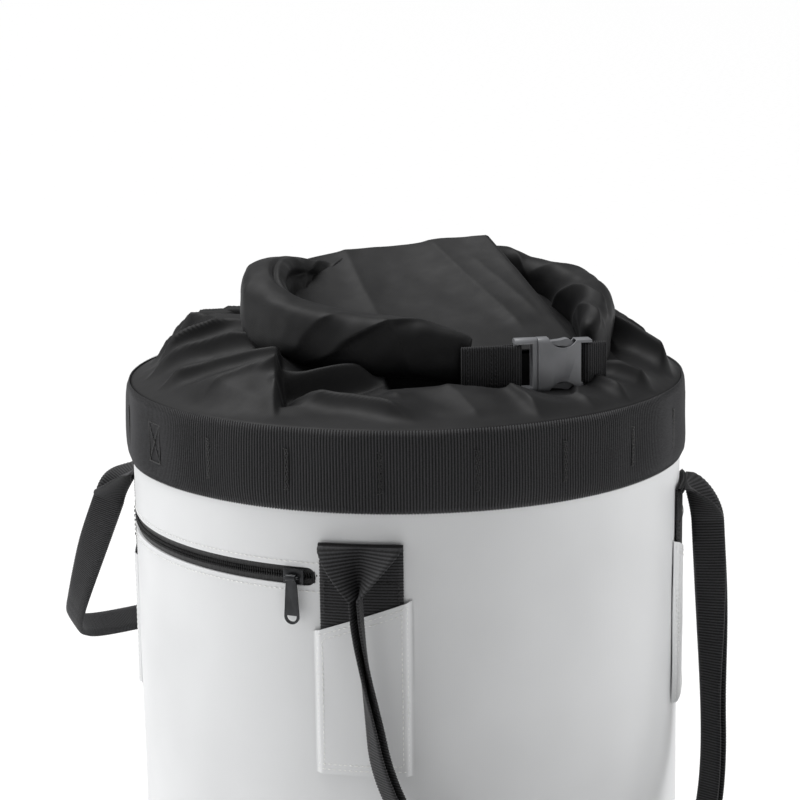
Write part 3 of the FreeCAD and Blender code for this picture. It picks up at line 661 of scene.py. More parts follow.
tape_cloth, tree, shader = new_material("plain_woven_tape", IOR=1.5, Sheen_Weight=0.25)
painted(tree, shader, weave(tree, 1.6), "#151516", "#29292B", blotches(tree, 200.0), 0.58, 0.74)
bumped(tree, shader, weave(tree, 1.6), 0.25)

for name, node, material, edge in (
        ("base_sheet", "base_panel", wall_tarp, 0.4), ("base_stiffener", "base_board", board_hdpe, 0.6),
        ("seam_tape", "back_seam_tape", cover_tarp, 0.3), ("drain_ring", "drain_eyelet", eyelet_metal, 0.3),
        ("drain_back_ring", "drain_washer", eyelet_metal, 0.2), ("hem_hoop", "rim_hoop", hoop_nylon, 0.2),
        ("rim_facing", "rim_lining", lining_cloth, 0.3), ("pocket_bag", "pocket_liner", lining_cloth, 0.4),
        ("rope_loop_low", "tie_in_loop_low", tape_cloth, 0.4),
        ("rope_loop_high", "tie_in_loop_high", tape_cloth, 0.4),
        ("roll_strip", "closure_strip", strip_hdpe, 0.3), ("zip_end_stops", "zip_stops", coil_nylon, 0.3),
        ("zip_slider_body", "zip_slider", zip_metal, 0.35), ("zip_puller", "zip_pull", zip_metal, 0.3),
        ("buckle_socket_body", "buckle_socket", acetal, 0.45),
        ("buckle_plug_frame", "buckle_plug", acetal, 0.45),
        ("buckle_prong_upper", "prong_upper", acetal, 0.3),
        ("buckle_prong_lower", "prong_lower", acetal, 0.3)):
    piece = finished_copy(name, node, material, edge)

# %% [markdown]
# ## Round webbing: the rim band and the foot binding
# Both are ribbed webbing sewn round the bucket, 50 mm wide at the rim and 26 mm at the foot. The ribs run
# up and down, one every 1.8 mm. The strip is a thin closed section carried round the bag, then the rib
# group lifts it. The band bulges a little between its bar tacks, where a carabiner would clip in.

# %% round bands
RIB, RIB_DEPTH = 1.8, 0.4
TACK_FIRST, TACK_STEP = -95.0, 18.0


def round_band(name, radius, thick, low, high, bulge):
    """A ring of ribbed webbing standing out by bulge mm halfway between tacks."""
    ribs = round(math.tau * radius / RIB)
    angles = np.linspace(0, 360, ribs * 4 + 1)[:-1]
    inset = RIB_DEPTH
    across = np.linspace(-1, 1, 13)
    outer = [(thick / 2 - 0.45 * abs(t) ** 8 * thick - inset, t) for t in across]
    section = np.array(outer + [(-thick / 2 + inset, 0.97), (-thick / 2 + inset, -0.97)])
    heights = (low + high) / 2 + section[:, 1] * ((high - low) / 2 - inset)
    A, Z = np.meshgrid(angles, heights, indexing="ij")
    phase = ((A - TACK_FIRST) / TACK_STEP) % 1.0
    puff = bulge * np.sin(np.pi * phase) ** 1.5 * (1 - section[None, :, 1] ** 4)
    puff = puff + 0.25 * bulge * np.sin(np.radians(A * 7) + Z / 9)
    R = radius + thick / 2 + section[None, :, 0] + np.where(section[None, :, 0] > 0, puff, puff * 0.4)
    length = np.radians(angles) * ribs * RIB / math.tau
    v = np.append(across, (1.2, 1.4)) * (high - low) / 2
    band = grid_piece(name, around(A, R, Z), webbing_black, close_rows=True, close_columns=True,
                      uv=(length / RIB, v), along=length)
    return run_nodes(band, webbing_ribs, Pitch=RIB, Depth=RIB_DEPTH * MM, Material=webbing_black)


band = place(round_band("rim_webbing", 175.3, 2.4, 470.2, 519.8, 1.3), "bucket", "rim_band", slot="webbing")
foot = place(round_band("foot_webbing", 175.3, 1.8, 0.3, 26.0, 0.0), "bucket", "base_binding", slot="webbing")
print("rim band", len(band.data.polygons), "faces, foot", len(foot.data.polygons))

# %% [markdown]
# ## Bar tacks
# A bar tack is a dense zigzag that holds the band down. Twenty of them, one of which is the crossed box
# where the band's ends meet, divide it into gear loops. The thread is 0.5 mm.

# %% bar tacks
TACK_R = 177.9


def zigzag(angle, low, high, half_width, step):
    count = int((high - low) / step)
    sides = [half_width if k % 2 else -half_width for k in range(count + 1)]
    return [around(angle + math.degrees(s / TACK_R), TACK_R, low + (high - low) * k / count)
            for k, s in enumerate(sides)]


def wall_line(angle, radius, corners, step=1.0):
    """A line on the wall through corners given as (mm round the wall, height), cut into short steps."""
    line = []
    for (x0, z0), (x1, z1) in zip(corners[:-1], corners[1:]):
        count = max(1, int(math.hypot(x1 - x0, z1 - z0) / step))
        line += [around(angle + math.degrees((x0 + (x1 - x0) * k / count) / radius), radius,
                        z0 + (z1 - z0) * k / count) for k in range(count)]
    x, z = corners[-1]
    return line + [around(angle + math.degrees(x / radius), radius, z)]


tack_lines = [zigzag(TACK_FIRST + TACK_STEP * k, 483, 507, 1.2, 0.75) for k in range(1, 20)]
box = [(-7, 483), (7, 483), (7, 507), (-7, 507), (-7, 483), (7, 507), (7, 483), (-7, 507)]
tack_lines.append(wall_line(TACK_FIRST, TACK_R, box))
tacks = laid_along("band_tacks", tack_lines, 1.5, (1.9, 0.75, 0.75), black_thread)
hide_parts("rim_band_tacks")
print("tacks", len(tacks.data.polygons), "faces")

# %% [markdown]
# ## Strips of webbing that fold and turn
# An anchor or a loop is a flat strip whose middle surface is known at every step along it. A section is
# that middle line across the strip plus half the thickness each way, thinner at the selvedges. Rings of
# sections, close enough to carry the ribs, make the strip.

# %% strip helper
ACROSS = np.linspace(-1, 1, 15)


def strip_ring(middle, normal, thick):
    """A closed section round a strip: middle points across it (metres) and their normals."""
    half = thick / 2 * (1 - 0.45 * np.abs(ACROSS) ** 8)[:, None] * MM
    return np.vstack((middle + normal * half, (middle - normal * half)[::-1]))


def webbing_strip(name, rings, along, width, pitch, depth):
    """Ribbed webbing from its sections, with its length so far (mm) at each."""
    v = np.concatenate((ACROSS, 2.2 - ACROSS[::-1])) * width / 2
    along = np.asarray(along)
    strip = grid_piece(name, np.array(rings), webbing_black, close_columns=True, uv=(along / pitch, v),
                       cap=True, along=along)
    return run_nodes(strip, webbing_ribs, Pitch=pitch, Depth=depth * MM, Material=webbing_black)


def unit(v):
    return v / np.linalg.norm(v, axis=-1, keepdims=True)


print("strip helper ready")

# %% [markdown]
# ## Anchors
# The end of each carry loop lies flat on the wall, 50 mm wide, and turns over at its top. Its tail goes
# down under a tarpaulin cover. Across the strip every point sits on the round wall.

# %% anchors
ANCHOR_TOP, ANCHOR_TAIL, ANCHOR_R = 453.6, 331.0, 176.3
STRAP_RIB = 1.8
ANCHORS = {"front_left": -45.0, "front_right": 45.0, "rear_right": 135.0, "rear_left": 225.0}


def anchor_strip(name, angle):
    """Up the wall, over the fold and 3 mm down its front."""
    fold = 1.25
    top = ANCHOR_TOP - 1.1 - fold
    steps, rings, along, length = STRAP_RIB / 4, [], [], 0.0
    path = [(ANCHOR_R, z, 1.0, 0.0) for z in np.arange(ANCHOR_TAIL, top, steps)]
    path += [(ANCHOR_R + fold - fold * math.cos(t), top + fold * math.sin(t), math.cos(t), -math.sin(t))
             for t in np.linspace(0, math.pi, 9)]
    path += [(ANCHOR_R + 2 * fold, z, -1.0, 0.0) for z in np.arange(top - steps, top - 3.0, -steps)]
    before = None
    for r, z, out, up in path:
        if before:
            length += math.hypot(r - before[0], z - before[1])
        before = (r, z)
        a = angle + np.degrees(ACROSS * 24.6 / ANCHOR_R)
        radial = around(a, 1.0, 0.0) / MM
        middle = around(a, r, z)
        normal = radial * out + np.array([0, 0, -up])
        rings.append(strip_ring(middle, unit(normal), 1.5))
        along.append(length)
    return webbing_strip(name, rings, along, 50.0, STRAP_RIB, 0.2)


for label, angle in ANCHORS.items():
    strap = anchor_strip("anchor_webbing_" + label, angle)
    place(strap, "bucket", "anchor_" + label, slot="webbing")
print("anchor faces", len(strap.data.polygons))

# %% [markdown]
# ## Covers over the anchor tails
# Each is a welded tarpaulin patch, 60 mm wide, with a slanted top edge. It rides up over the webbing and
# drops to the wall at both sides. Solidify gives it about half a millimetre.

# %% covers
COVER_HALF, COVER_LOW, COVER_EDGE, SLANT = 29.6, 312.5, 409.0, math.tan(math.radians(19))


def cover_radius(x):
    """How far out the patch lies, x mm from its middle: over the webbing, then down to the wall."""
    return 175.3 + 2.3 * smooth((28.4 - np.abs(x)) / 3.2)


def cover_patch(name, angle, lean):
    x = np.linspace(-COVER_HALF, COVER_HALF, 53)
    t = np.linspace(0, 1, 48)
    T, X = np.meshgrid(t, x, indexing="ij")
    top = COVER_EDGE + lean * X * SLANT
    Z = COVER_LOW + (top - COVER_LOW) * T
    R = cover_radius(X) + 0.12 * np.sin(X / 7 + Z / 11)
    patch = grid_piece(name, around(angle + np.degrees(X / 177.0), R, Z), cover_tarp)
    thickened(patch, 0.55, 1)
    patch.data.set_sharp_from_angle(angle=math.radians(40))
    return patch


def cover_stitches(angle, lean):
    """Two lines of stitches, 3 mm and 6 mm inside the patch's edge."""
    lines = []
    for inset in (3.0, 6.2):
        side, low = COVER_HALF - inset, COVER_LOW + inset
        corners = [(-side, low), (side, low), (side, COVER_EDGE + lean * side * SLANT - inset),
                   (-side, COVER_EDGE - lean * side * SLANT - inset), (-side, low)]
        line = []
        for (x0, z0), (x1, z1) in zip(corners[:-1], corners[1:]):
            count = int(math.hypot(x1 - x0, z1 - z0))
            for k in range(count + 1):
                x, z = x0 + (x1 - x0) * k / count, z0 + (z1 - z0) * k / count
                line.append(around(angle + math.degrees(x / 177.0), cover_radius(x) + 0.6, z))
        lines.append(line)
    return lines


for (label, angle), lean in zip(ANCHORS.items(), (1, -1, 1, -1)):
    patch = place(cover_patch("anchor_patch_" + label, angle, lean), "bucket", "anchor_cover_" + label,
                  slot="cover_tarpaulin")
    seam = laid_along("patch_stitches_" + label, cover_stitches(angle, lean), 3.2, (2.4, 0.55, 0.55),
                      white_thread)
    row = [wall_line(angle, 177.6, [(-22, 412), (-22, 430), (22, 430), (22, 412)])]
    laid_along("anchor_stitches_" + label, row, 3.0, (2.2, 0.7, 0.7), black_thread)
print("cover faces", len(patch.data.polygons), "stitch faces", len(seam.data.polygons))

# %% [markdown]
# ## Carry loops
# From the anchor's fold the webbing closes like a book: its two halves swing together with the crease
# against the wall, and from there on it is carried folded double, round a U that hugs the bucket. Half
# the opening angle of the fold goes from a right angle at the anchor to nearly nothing.

# %% carry loops
LOOP_HALF, LOOP_LEG, LOOP_TOP, LOOP_IN_R = 130.0, 110.0, 449.5, 181.5
HINGE = np.array([0.0, -(math.sqrt(LOOP_IN_R ** 2 - LOOP_HALF ** 2) + 11.0), LOOP_TOP])
FLAP = 24.0


def swung(vectors, swing, about=None):
    """Vectors or points (mm) turned outward by swing degrees round the loop's hinge line."""
    a = math.radians(-swing)
    c, s = math.cos(a), math.sin(a)
    v = np.asarray(vectors, float) - (0 if about is None else about)
    turned = np.stack((v[..., 0], v[..., 1] * c - v[..., 2] * s, v[..., 1] * s + v[..., 2] * c), -1)
    return turned + (0 if about is None else about)


def folded_section(crease, out, side, half_angle, thick=2.0):
    """Webbing across a fold: crease point, direction away from the wall, direction to the side."""
    t = ACROSS
    away = 21.0 * (np.sqrt(t ** 2 + 0.004) - 0.063) * math.cos(half_angle)
    apart = 24.6 * t * math.sin(half_angle) + 1.12 * np.tanh(t / 0.09) * math.cos(half_angle)
    slope_away, slope_apart = np.gradient(away), np.gradient(apart)
    size = np.hypot(slope_away, slope_apart)
    middle = crease + away[:, None] * out + apart[:, None] * side
    normal = (slope_apart / size)[:, None] * out - (slope_away / size)[:, None] * side
    return strip_ring(middle * MM, normal, thick)


def loop_stations(swing):
    """Crease, outward and sideways directions and half the fold's angle, at every step of the loop."""
    step = STRAP_RIB / 4
    stations = []
    low = LOOP_TOP - LOOP_LEG
    leg = np.arange(LOOP_TOP - FLAP, low, -step)
    arc = np.arange(0, math.pi, step / LOOP_HALF)
    path = [(-LOOP_HALF, z, -1.0, 0.0) for z in leg]
    path += [(-LOOP_HALF * math.cos(t), low - LOOP_HALF * math.sin(t), -math.cos(t), -math.sin(t))
             for t in arc]
    path += [(LOOP_HALF, z, 1.0, 0.0) for z in leg[::-1]]
    for x, z, side_x, side_z in path:
        reach = math.sqrt(LOOP_IN_R ** 2 - x * x) + 1.4
        crease = swung(np.array([x, -reach, z]), swing, HINGE)
        hang = float(smooth((z - 300) / 120)) * math.copysign(0.7071, x)
        out = unit(np.array([hang, -math.sqrt(1 - hang * hang), 0]))
        side = np.array([side_x, 0, side_z])
        side = unit(side - out * side.dot(out))
        stations.append((crease, swung(out, swing), swung(side, swing)))
    ends = []
    for hand in (-1, 1):
        a = math.radians(45 * hand)
        radial, tangent = np.array([math.sin(a), -math.cos(a), 0]), np.array([math.cos(a), math.sin(a), 0])
        start = radial * (ANCHOR_R + 2.6) + np.array([0, 0, ANCHOR_TOP - 2.2])
        stop, out, side = stations[0] if hand < 0 else stations[-1]
        if hand < 0:
            tangent = -tangent
        flap = []
        for u in np.linspace(0, 1, int(FLAP / step), endpoint=False):
            w = float(smooth(u ** 0.8))
            place_at = start + (stop - start) * (w * 0.6 + u * 0.4)
            place_at[2] = start[2] + (stop[2] - start[2]) * u
            flap.append((place_at, unit(radial * (1 - w) + out * w), unit(tangent * (1 - w) + side * w), u))
        ends.append(flap)
    full = [(c, o, s, max(math.asin(1 - 0.95 * u), math.radians(3))) for c, o, s, u in ends[0]]
    full += [(c, o, s, math.radians(3)) for c, o, s in stations]
    full += [(c, o, s, max(math.asin(1 - 0.95 * u), math.radians(3))) for c, o, s, u in ends[1][::-1]]
    return full


def carry_loop(name, swing, turned):
    stations = loop_stations(swing)
    creases = np.array([s[0] for s in stations])
    along = np.concatenate(([0], np.cumsum(np.linalg.norm(np.diff(creases, axis=0), axis=1))))
    rings = np.array([folded_section(*s) for s in stations])
    if turned:
        rings = rings * np.array([-1, -1, 1])
    return webbing_strip(name, rings, along, 50.0, STRAP_RIB, 0.22)


for name, node, body, swing, turned, y in (
        ("front_carry_loop", "carry_loop_front", "front_loop", 5.0, False, -0.15),
        ("rear_carry_loop", "carry_loop_rear", "rear_loop", 34.0, True, 0.15)):
    loop = carry_loop(name, swing, turned)
    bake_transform(loop, "bucket", body, start=(0, y, 0.4515), end=(0, y, 0.430))
    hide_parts(node)
    print(name, len(loop.data.polygons), "faces")

# %% [markdown]
# ## Zip
# The tapes are woven strips sewn behind the window, and the coil is nylon wire bent into teeth, one
# every 1.6 mm on each side, the two sides half a step apart so that they mesh. The teeth are laid along
# the zip by the same node group that lays stitches.

# %% zip tapes, teeth and stitches
COIL_R = 174.2


def zip_tape(name, side):
    angles = np.linspace(ZIP_FROM - 2.2, ZIP_TO + 2.2, 150)
    rows = np.linspace(0.7, 17.2, 16)
    A, W = np.meshgrid(angles, rows, indexing="ij")
    R = 172.75 + 0.35 * np.exp(-((W - 4.2) / 0.8) ** 2) + 0.06 * np.sin(A * 3) + 0.3 * smooth((3.5 - W) / 2)
    tape = grid_piece(name, around(A, R, ZIP_Z + side * W), zip_cloth)
    return thickened(tape, 0.7, 0)


for label, side in (("upper", 1), ("lower", -1)):
    place(zip_tape("zip_cloth_" + label, side), "bucket", "zip_tape_" + label, slot="zip_tape")
    shift = 0.25 * side
    path = [around(a + shift, COIL_R, ZIP_Z + side * 1.05) for a in np.linspace(ZIP_FROM, ZIP_TO, 160)]
    teeth = laid_along("zip_teeth_" + label, [path], 1.6, (1.15, 1.6, 2.4), coil_nylon)
    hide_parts("zip_coil_" + label)
span = math.radians(ZIP_TO - ZIP_FROM) * 175.3 / 2
MID = (ZIP_FROM + ZIP_TO) / 2
SEAM_UP, SEAM_PAST = 8.6, 3.5     # the seam lies this far above and below the zip, and past its end
left, right, low, high = -span - 1, span + SEAM_PAST, ZIP_Z - SEAM_UP, ZIP_Z + SEAM_UP
frame_line = wall_line(MID, 175.35, [(left, low), (right, low), (right, high), (left, high), (left, low)])
zip_seam = laid_along("zip_stitches", [frame_line], 3.4, (2.5, 0.55, 0.55), white_thread)
print("zip stitches", len(zip_seam.data.polygons), "faces")

# %% [markdown]
# ## Webbing of the buckle
# Each half of the buckle hangs on 25 mm webbing that goes round a bar and is sewn back on itself. The
# strip is worked out in the buckle's own frame and carried to the bag by the same two turns as the buckle.

# %% buckle webbing
BUCKLE_AT, BUCKLE_YAW = np.array([78.5, -91.0, 540.0]), math.radians(10)
EYE = 1.3 * math.sqrt(2) + 0.16 + 0.8


def from_buckle(points):
    """Buckle-frame points in mm (x along it, y up, z outward) as places on the bag in metres."""
    p = np.asarray(points, float)
    x, y, z = p[..., 0], -p[..., 2], p[..., 1]
    c, s = math.cos(BUCKLE_YAW), math.sin(BUCKLE_YAW)
    return closure_points(np.stack((x * c - y * s, x * s + y * c, z), -1) + BUCKLE_AT)


def bar_webbing(name, bar_x, way, length):
    """Webbing from its sewn end to the bar, round it and back."""
    half = [(bar_x + way * length, 0.82), (bar_x + way * 9.5, 0.82), (bar_x + way * 5.0, 1.7), (bar_x, EYE)]
    turn = [(bar_x - way * EYE * math.sin(t), EYE * math.cos(t)) for t in np.linspace(0, math.pi, 13)[1:-1]]
    path = np.array(half + turn + [(x, -z) for x, z in half[::-1]])
    lengths = np.concatenate(([0], np.cumsum(np.hypot(*np.diff(path, axis=0).T))))
    along = np.arange(0, lengths[-1], 0.36)
    x, z = np.interp(along, lengths, path[:, 0]), np.interp(along, lengths, path[:, 1])
    dx, dz = np.gradient(x), np.gradient(z)
    size = np.hypot(dx, dz)
    rings = []
    for k in range(len(along)):
        middle = np.stack((np.full(15, x[k]), ACROSS * 12.4, np.full(15, z[k])), -1)
        nx, nz = dz[k] / size[k], -dx[k] / size[k]
        half_t = 0.62 * (1 - 0.4 * np.abs(ACROSS) ** 8)[:, None]
        normal = np.array([nx, 0, nz])
        rings.append(from_buckle(np.vstack((middle + normal * half_t, (middle - normal * half_t)[::-1]))))
    return webbing_strip(name, rings, along, 25.0, 1.45, 0.16)


plug_strap = bar_webbing("buckle_strap_left", -12.7, -1, 33.5)
place(plug_strap, "free_end", "plug_webbing", slot="webbing")
socket_strap = bar_webbing("buckle_strap_right", 31.7, 1, 11.0)
place(socket_strap, "rolled_top", "socket_webbing", slot="webbing")
rows = [from_buckle([(x, y, 1.75) for y in np.linspace(-10.5, 10.5, 12)]) for x in (-25.5, -28.0, -42.5)]
laid_along("buckle_strap_stitches", rows, 2.4, (1.8, 0.55, 0.55), black_thread, "free_end")
print("buckle webbing", len(plug_strap.data.polygons), len(socket_strap.data.polygons))

# %% [markdown]
# ## The rolled neck
# The collar's long tube of nylon is pressed flat, rolled up, and its two ends are bent forward and
# buckled into a ring that stands on the collar. The roll is drawn as an oval section carried along a
# smooth line; each control point holds its place, half its height and half its thickness in mm.

# %% the roll's line
ROLL = np.array([
    (112, -66, 543, 18, 7), (119, -38, 549, 20, 10), (117, -4, 557, 21, 13), (104, 26, 562, 20, 14),
    (80, 44, 567, 18, 12), (50, 51, 573, 19, 10), (0, 53, 569, 19, 10), (-50, 47, 566, 18, 11),
    (-77, 22, 570, 22, 15), (-86, -12, 572, 22, 16), (-84, -40, 564, 21, 16), (-66, -62, 557, 20, 15),
    (-30, -78, 551.5, 19.5, 14), (5, -84, 549, 19, 13), (38, -88, 543, 16, 9)], float)


def along_curve(controls, step):
    """Points every step mm along a smooth curve through the controls, and the length so far."""
    fine = np.linspace(0, len(controls) - 1, 3000)
    before = np.clip(np.floor(fine).astype(int), 0, len(controls) - 2)
    u = (fine - before)[:, None]
    padded = np.vstack((2 * controls[0] - controls[1], controls, 2 * controls[-1] - controls[-2]))
    p0, p1, p2, p3 = (padded[before + k] for k in range(4))
    curve = 0.5 * (2 * p1 + (p2 - p0) * u + (2 * p0 - 5 * p1 + 4 * p2 - p3) * u ** 2
                   + (3 * p1 - p0 - 3 * p2 + p3) * u ** 3)
    length = np.concatenate(([0], np.cumsum(np.linalg.norm(np.diff(curve[:, :3], axis=0), axis=1))))
    even = np.arange(0, length[-1], step)
    return np.stack([np.interp(even, length, curve[:, k]) for k in range(controls.shape[1])], -1), even


LINE, LINE_S = along_curve(ROLL, 1.0)
ROLL_LENGTH = LINE_S[-1]
print("roll length in mm", round(ROLL_LENGTH))

# %% [markdown]
# Creases make a roll look like cloth. A crease here is a sharp-crested wave: distance from a line on the
# roll, through an exponential, so that the crest is narrow and the sides fall away softly. Most lie at
# the two bends, where the flat tube had to buckle. A long groove runs along the top where the last turn
# of cloth ends, and ripples break up the rest.

# %% the roll's surface


def crest(distance, gentle, steep):
    """1 on a fold line, falling off over gentle mm on one side (below 0) and steep mm on the other."""
    width = np.where(distance < 0, gentle, steep)
    d = np.sqrt(distance ** 2 + 0.6) - 0.77
    return np.exp(-np.maximum(d, 0) / width)


def roll_folds(S, Q):
    """Height in mm of the roll's creases at S mm along it and Q degrees round it (0 out, 90 top)."""
    h = np.zeros_like(S)
    for s, lean, q0, q1, size, gentle, steep in (
            (30, 0.34, 30, 210, 3.6, 18, 5), (66, 0.45, 40, 230, 4.6, 22, 5), (98, 0.30, 0, 150, 2.6, 22, 7),
            (128, -0.30, 60, 230, 3.4, 20, 6), (160, 0.2, 60, 200, 2.6, 20, 7),
            (12, 0.05, -60, 60, 2.2, 8, 4), (54, -0.10, -70, 40, 1.8, 14, 6), (96, 0.08, -80, 30, 1.6, 16, 7),
            (262, 0.30, 50, 220, 3.2, 16, 5), (290, 0.45, 70, 230, 3.4, 18, 6),
            (322, 0.20, -50, 60, 2.0, 18, 5), (366, -0.24, -60, 70, 2.4, 26, 5),
            (410, 0.24, -40, 80, 2.4, 24, 5), (440, 0.50, -50, 100, 3.4, 20, 4),
            (460, -0.2, -40, 80, 2.2, 14, 4)):
        middle, half = (q0 + q1) / 2, (q1 - q0) / 2
        near = smooth(1.3 - np.abs(Q - middle) / half)
        h += size * near * crest(S - s - lean * (Q - middle), gentle, steep)
    lip = 108 + 10 * np.sin(S / 55.0)
    groove = smooth((S - 300) / 60) * smooth((ROLL_LENGTH - 12 - S) / 60)
    h -= 3.4 * groove * np.exp(-((Q - lip) / 7.0) ** 2)
    h += 1.6 * groove * crest((Q - lip + 13) * 0.35, 8, 2.5)
    second = smooth((S - 265) / 30) * smooth((400 - S) / 60)
    h -= 2.6 * second * np.exp(-((Q - 150 - S / 30) / 8.0) ** 2)
    return h


tangent = unit(np.gradient(LINE[:, :3], axis=0))
outward = unit(np.stack((tangent[:, 1], -tangent[:, 0], np.zeros(len(tangent))), -1))
if np.dot(outward[50, :2], LINE[50, :2] - np.array([15, -18])) < 0:
    outward = -outward
upward = np.cross(tangent, outward)
upward *= np.sign(upward[:, 2:3])
Q = np.linspace(0, 360, 129)[:-1]
S, QQ = np.meshgrid(LINE_S, Q, indexing="ij")
QS = (QQ + 90) % 360 - 90
c, s = np.cos(np.radians(QQ)), np.sin(np.radians(QQ))
square = 2 / 2.7
ends = np.sqrt(np.clip(1 - (1 - np.clip(np.minimum(S, ROLL_LENGTH - S) / 9.0, 0, 1)) ** 2, 0.0025, 1))
half_t = LINE[:, 4:5] * (0.35 + 0.65 * ends)
half_h = LINE[:, 3:4] * (0.85 + 0.15 * ends)
flatness = np.sign(c) * np.abs(c) ** square * half_t
tallness = np.sign(s) * np.abs(s) ** square * half_h
middle = LINE[:, None, :3]
surface = middle + flatness[..., None] * outward[:, None] + tallness[..., None] * upward[:, None]
away = unit(c[..., None] * outward[:, None] * LINE[:, None, 3:4]
            + s[..., None] * upward[:, None] * LINE[:, None, 4:5])
bends = 0.5 + 1.6 * np.exp(-((S - 40) / 60) ** 2) + 0.9 * np.exp(-((S - 285) / 55) ** 2)
height = roll_folds(S, QS) * ends - 1.6
height += bends * 0.9 * ripple(surface, 26.0, 3, 2) + 0.35 * ripple(surface, 9.0, 5, 1)
roll = grid_piece("rolled_cloth", closure_points(surface + away * height[..., None]), nylon,
                  close_columns=True, cap=True)
place(roll, "rolled_top", "rolled_neck", slot="nylon")
print("roll", len(roll.data.polygons), "faces")

# %% [markdown]
# ## The flat of the neck
# Inside the ring the neck's cloth is stretched over the back of the roll and slopes down behind the
# front arm. Its right edge is a sharp fold that drops to the cloth below. A grid between a back line and
# a front line makes it, with two shallow creases running forward from the ridge.

# %% the flat panel


def between(points, t):
    """Smooth line through points, t from 0 to 1."""
    p = np.asarray(points, float)
    line, lengths = along_curve(p, 0.5)
    return np.stack([np.interp(t * lengths[-1], lengths, line[:, k]) for k in range(3)], -1)


columns, rows = np.linspace(0, 1, 130), np.linspace(0, 1, 90)
back = between([(-84, 12, 577), (-66, 42, 585), (-40, 55, 588), (-2, 60, 591.5), (30, 56, 595),
                (54, 50, 598.5)], columns)
front = between([(-80, -34, 560), (-62, -52, 551), (-30, -66, 546), (5, -76, 546), (45, -85, 548.5),
                 (78, -83, 548), (102, -66, 551)], columns)
T, C = np.meshgrid(rows, columns, indexing="ij")
panel = back[None] * (1 - T[..., None]) + front[None] * T[..., None]
sag = -5.0 * np.sin(np.pi * T) ** 1.2 * np.sin(np.pi * np.clip(C * 1.02, 0, 1)) ** 0.7
x, y = panel[..., 0], panel[..., 1]


def fold_at(x, y, start, end, size, gentle, steep, fade):
    """A crease on cloth seen from above, from start to end (x, y in mm), size mm high at its middle."""
    a, b = np.array(start, float), np.array(end, float)
    run = np.linalg.norm(b - a)
    d = (b - a) / run
    t = ((x - a[0]) * d[0] + (y - a[1]) * d[1]) / run
    side = (x - a[0]) * d[1] - (y - a[1]) * d[0]
    return size * smooth(t / fade) * smooth((1 - t) / fade) * crest(side, gentle, steep)


for start, end, size, gentle, steep, fade in (
        ((-42, 66), (-4, -70), 2.6, 16, 6, 0.12), ((12, 66), (74, -60), 3.2, 18, 6, 0.12),
        ((-78, 20), (-40, -60), 2.2, 12, 5, 0.25), ((38, 40), (88, -50), 1.4, 9, 4, 0.25)):
    sag += fold_at(x, y, start, end, size, gentle, steep, fade)
sag += 1.3 * ripple(panel, 42.0, 7, 2) * np.sin(np.pi * T) + 0.25 * ripple(panel, 11.0, 8, 1)
panel[..., 2] += sag
over = [(0, 6.0, -3.0), (0, 9.5, -9.0), (0, 11.0, -18.0)]
behind = np.stack([panel[0] + np.array(o) for o in over[::-1]])
panel = np.vstack((behind, panel))
under = [(1.6, 0.6, -0.8), (2.2, 1.0, -3.0), (1.4, 0.4, -9.0), (-1.0, -2.0, -15.0), (6.0, 2.0, -19.0),
         (18.0, 8.0, -21.0), (34.0, 14.0, -22.0)]
lower = np.stack([panel[:, -1] + np.array(o) for o in under], 1)
panel = np.hstack((panel, lower))
flat_cloth = grid_piece("neck_flat", closure_points(panel), nylon)
thickened(flat_cloth, 0.7, -1)
place(flat_cloth, "rolled_top", "neck_panel", slot="nylon")
print("panel", len(flat_cloth.data.polygons), "faces")

# %% [markdown]
# ## The gathered collar
# Between the rim and the roll the nylon is slack, so it lies in deep folds that run from the rim in under
# the roll. The sheet is a grid in rings: the outer ring is sewn inside the rim band, the inner one follows
# the roll's line, and from there it goes up inside the ring. Each big fold is one line on the plan with a
# gentle and a steep side. At the front left one folds right over and leaves a dark pocket beside it.

# %% collar plan
CENTRE = np.array([15.0, -18.0])
neck_line = np.vstack((LINE[::6, :2], [(66, -80), (92, -72)]))
neck_turn = np.unwrap(np.arctan2(neck_line[:, 1] - CENTRE[1], neck_line[:, 0] - CENTRE[0]))
neck_reach = np.hypot(*(neck_line - CENTRE).T)
neck_low = np.append((LINE[:, 2] - LINE[:, 3])[::6], (517, 518))
around_neck = np.radians(np.linspace(0, 360, 721)[:-1])
phase = (around_neck - neck_turn[0]) % math.tau + neck_turn[0]
grow = np.append(neck_turn, neck_turn[0] + math.tau)
reach = np.interp(phase, grow, np.append(neck_reach, neck_reach[0])) - 1.0
low = np.interp(phase, grow, np.append(neck_low, neck_low[0])) + 3.0
kernel = np.hanning(25) / np.hanning(25).sum()
reach = np.convolve(np.tile(reach, 3), kernel, "same")[720:1440]
low = np.convolve(np.tile(low, 3), kernel, "same")[720:1440]
inner = np.stack((CENTRE[0] + reach * np.cos(around_neck), CENTRE[1] + reach * np.sin(around_neck)), -1)
rim = 173.4 * np.stack((np.cos(around_neck), np.sin(around_neck)), -1)
print("collar neck from", round(low.min()), "to", round(low.max()), "mm up")

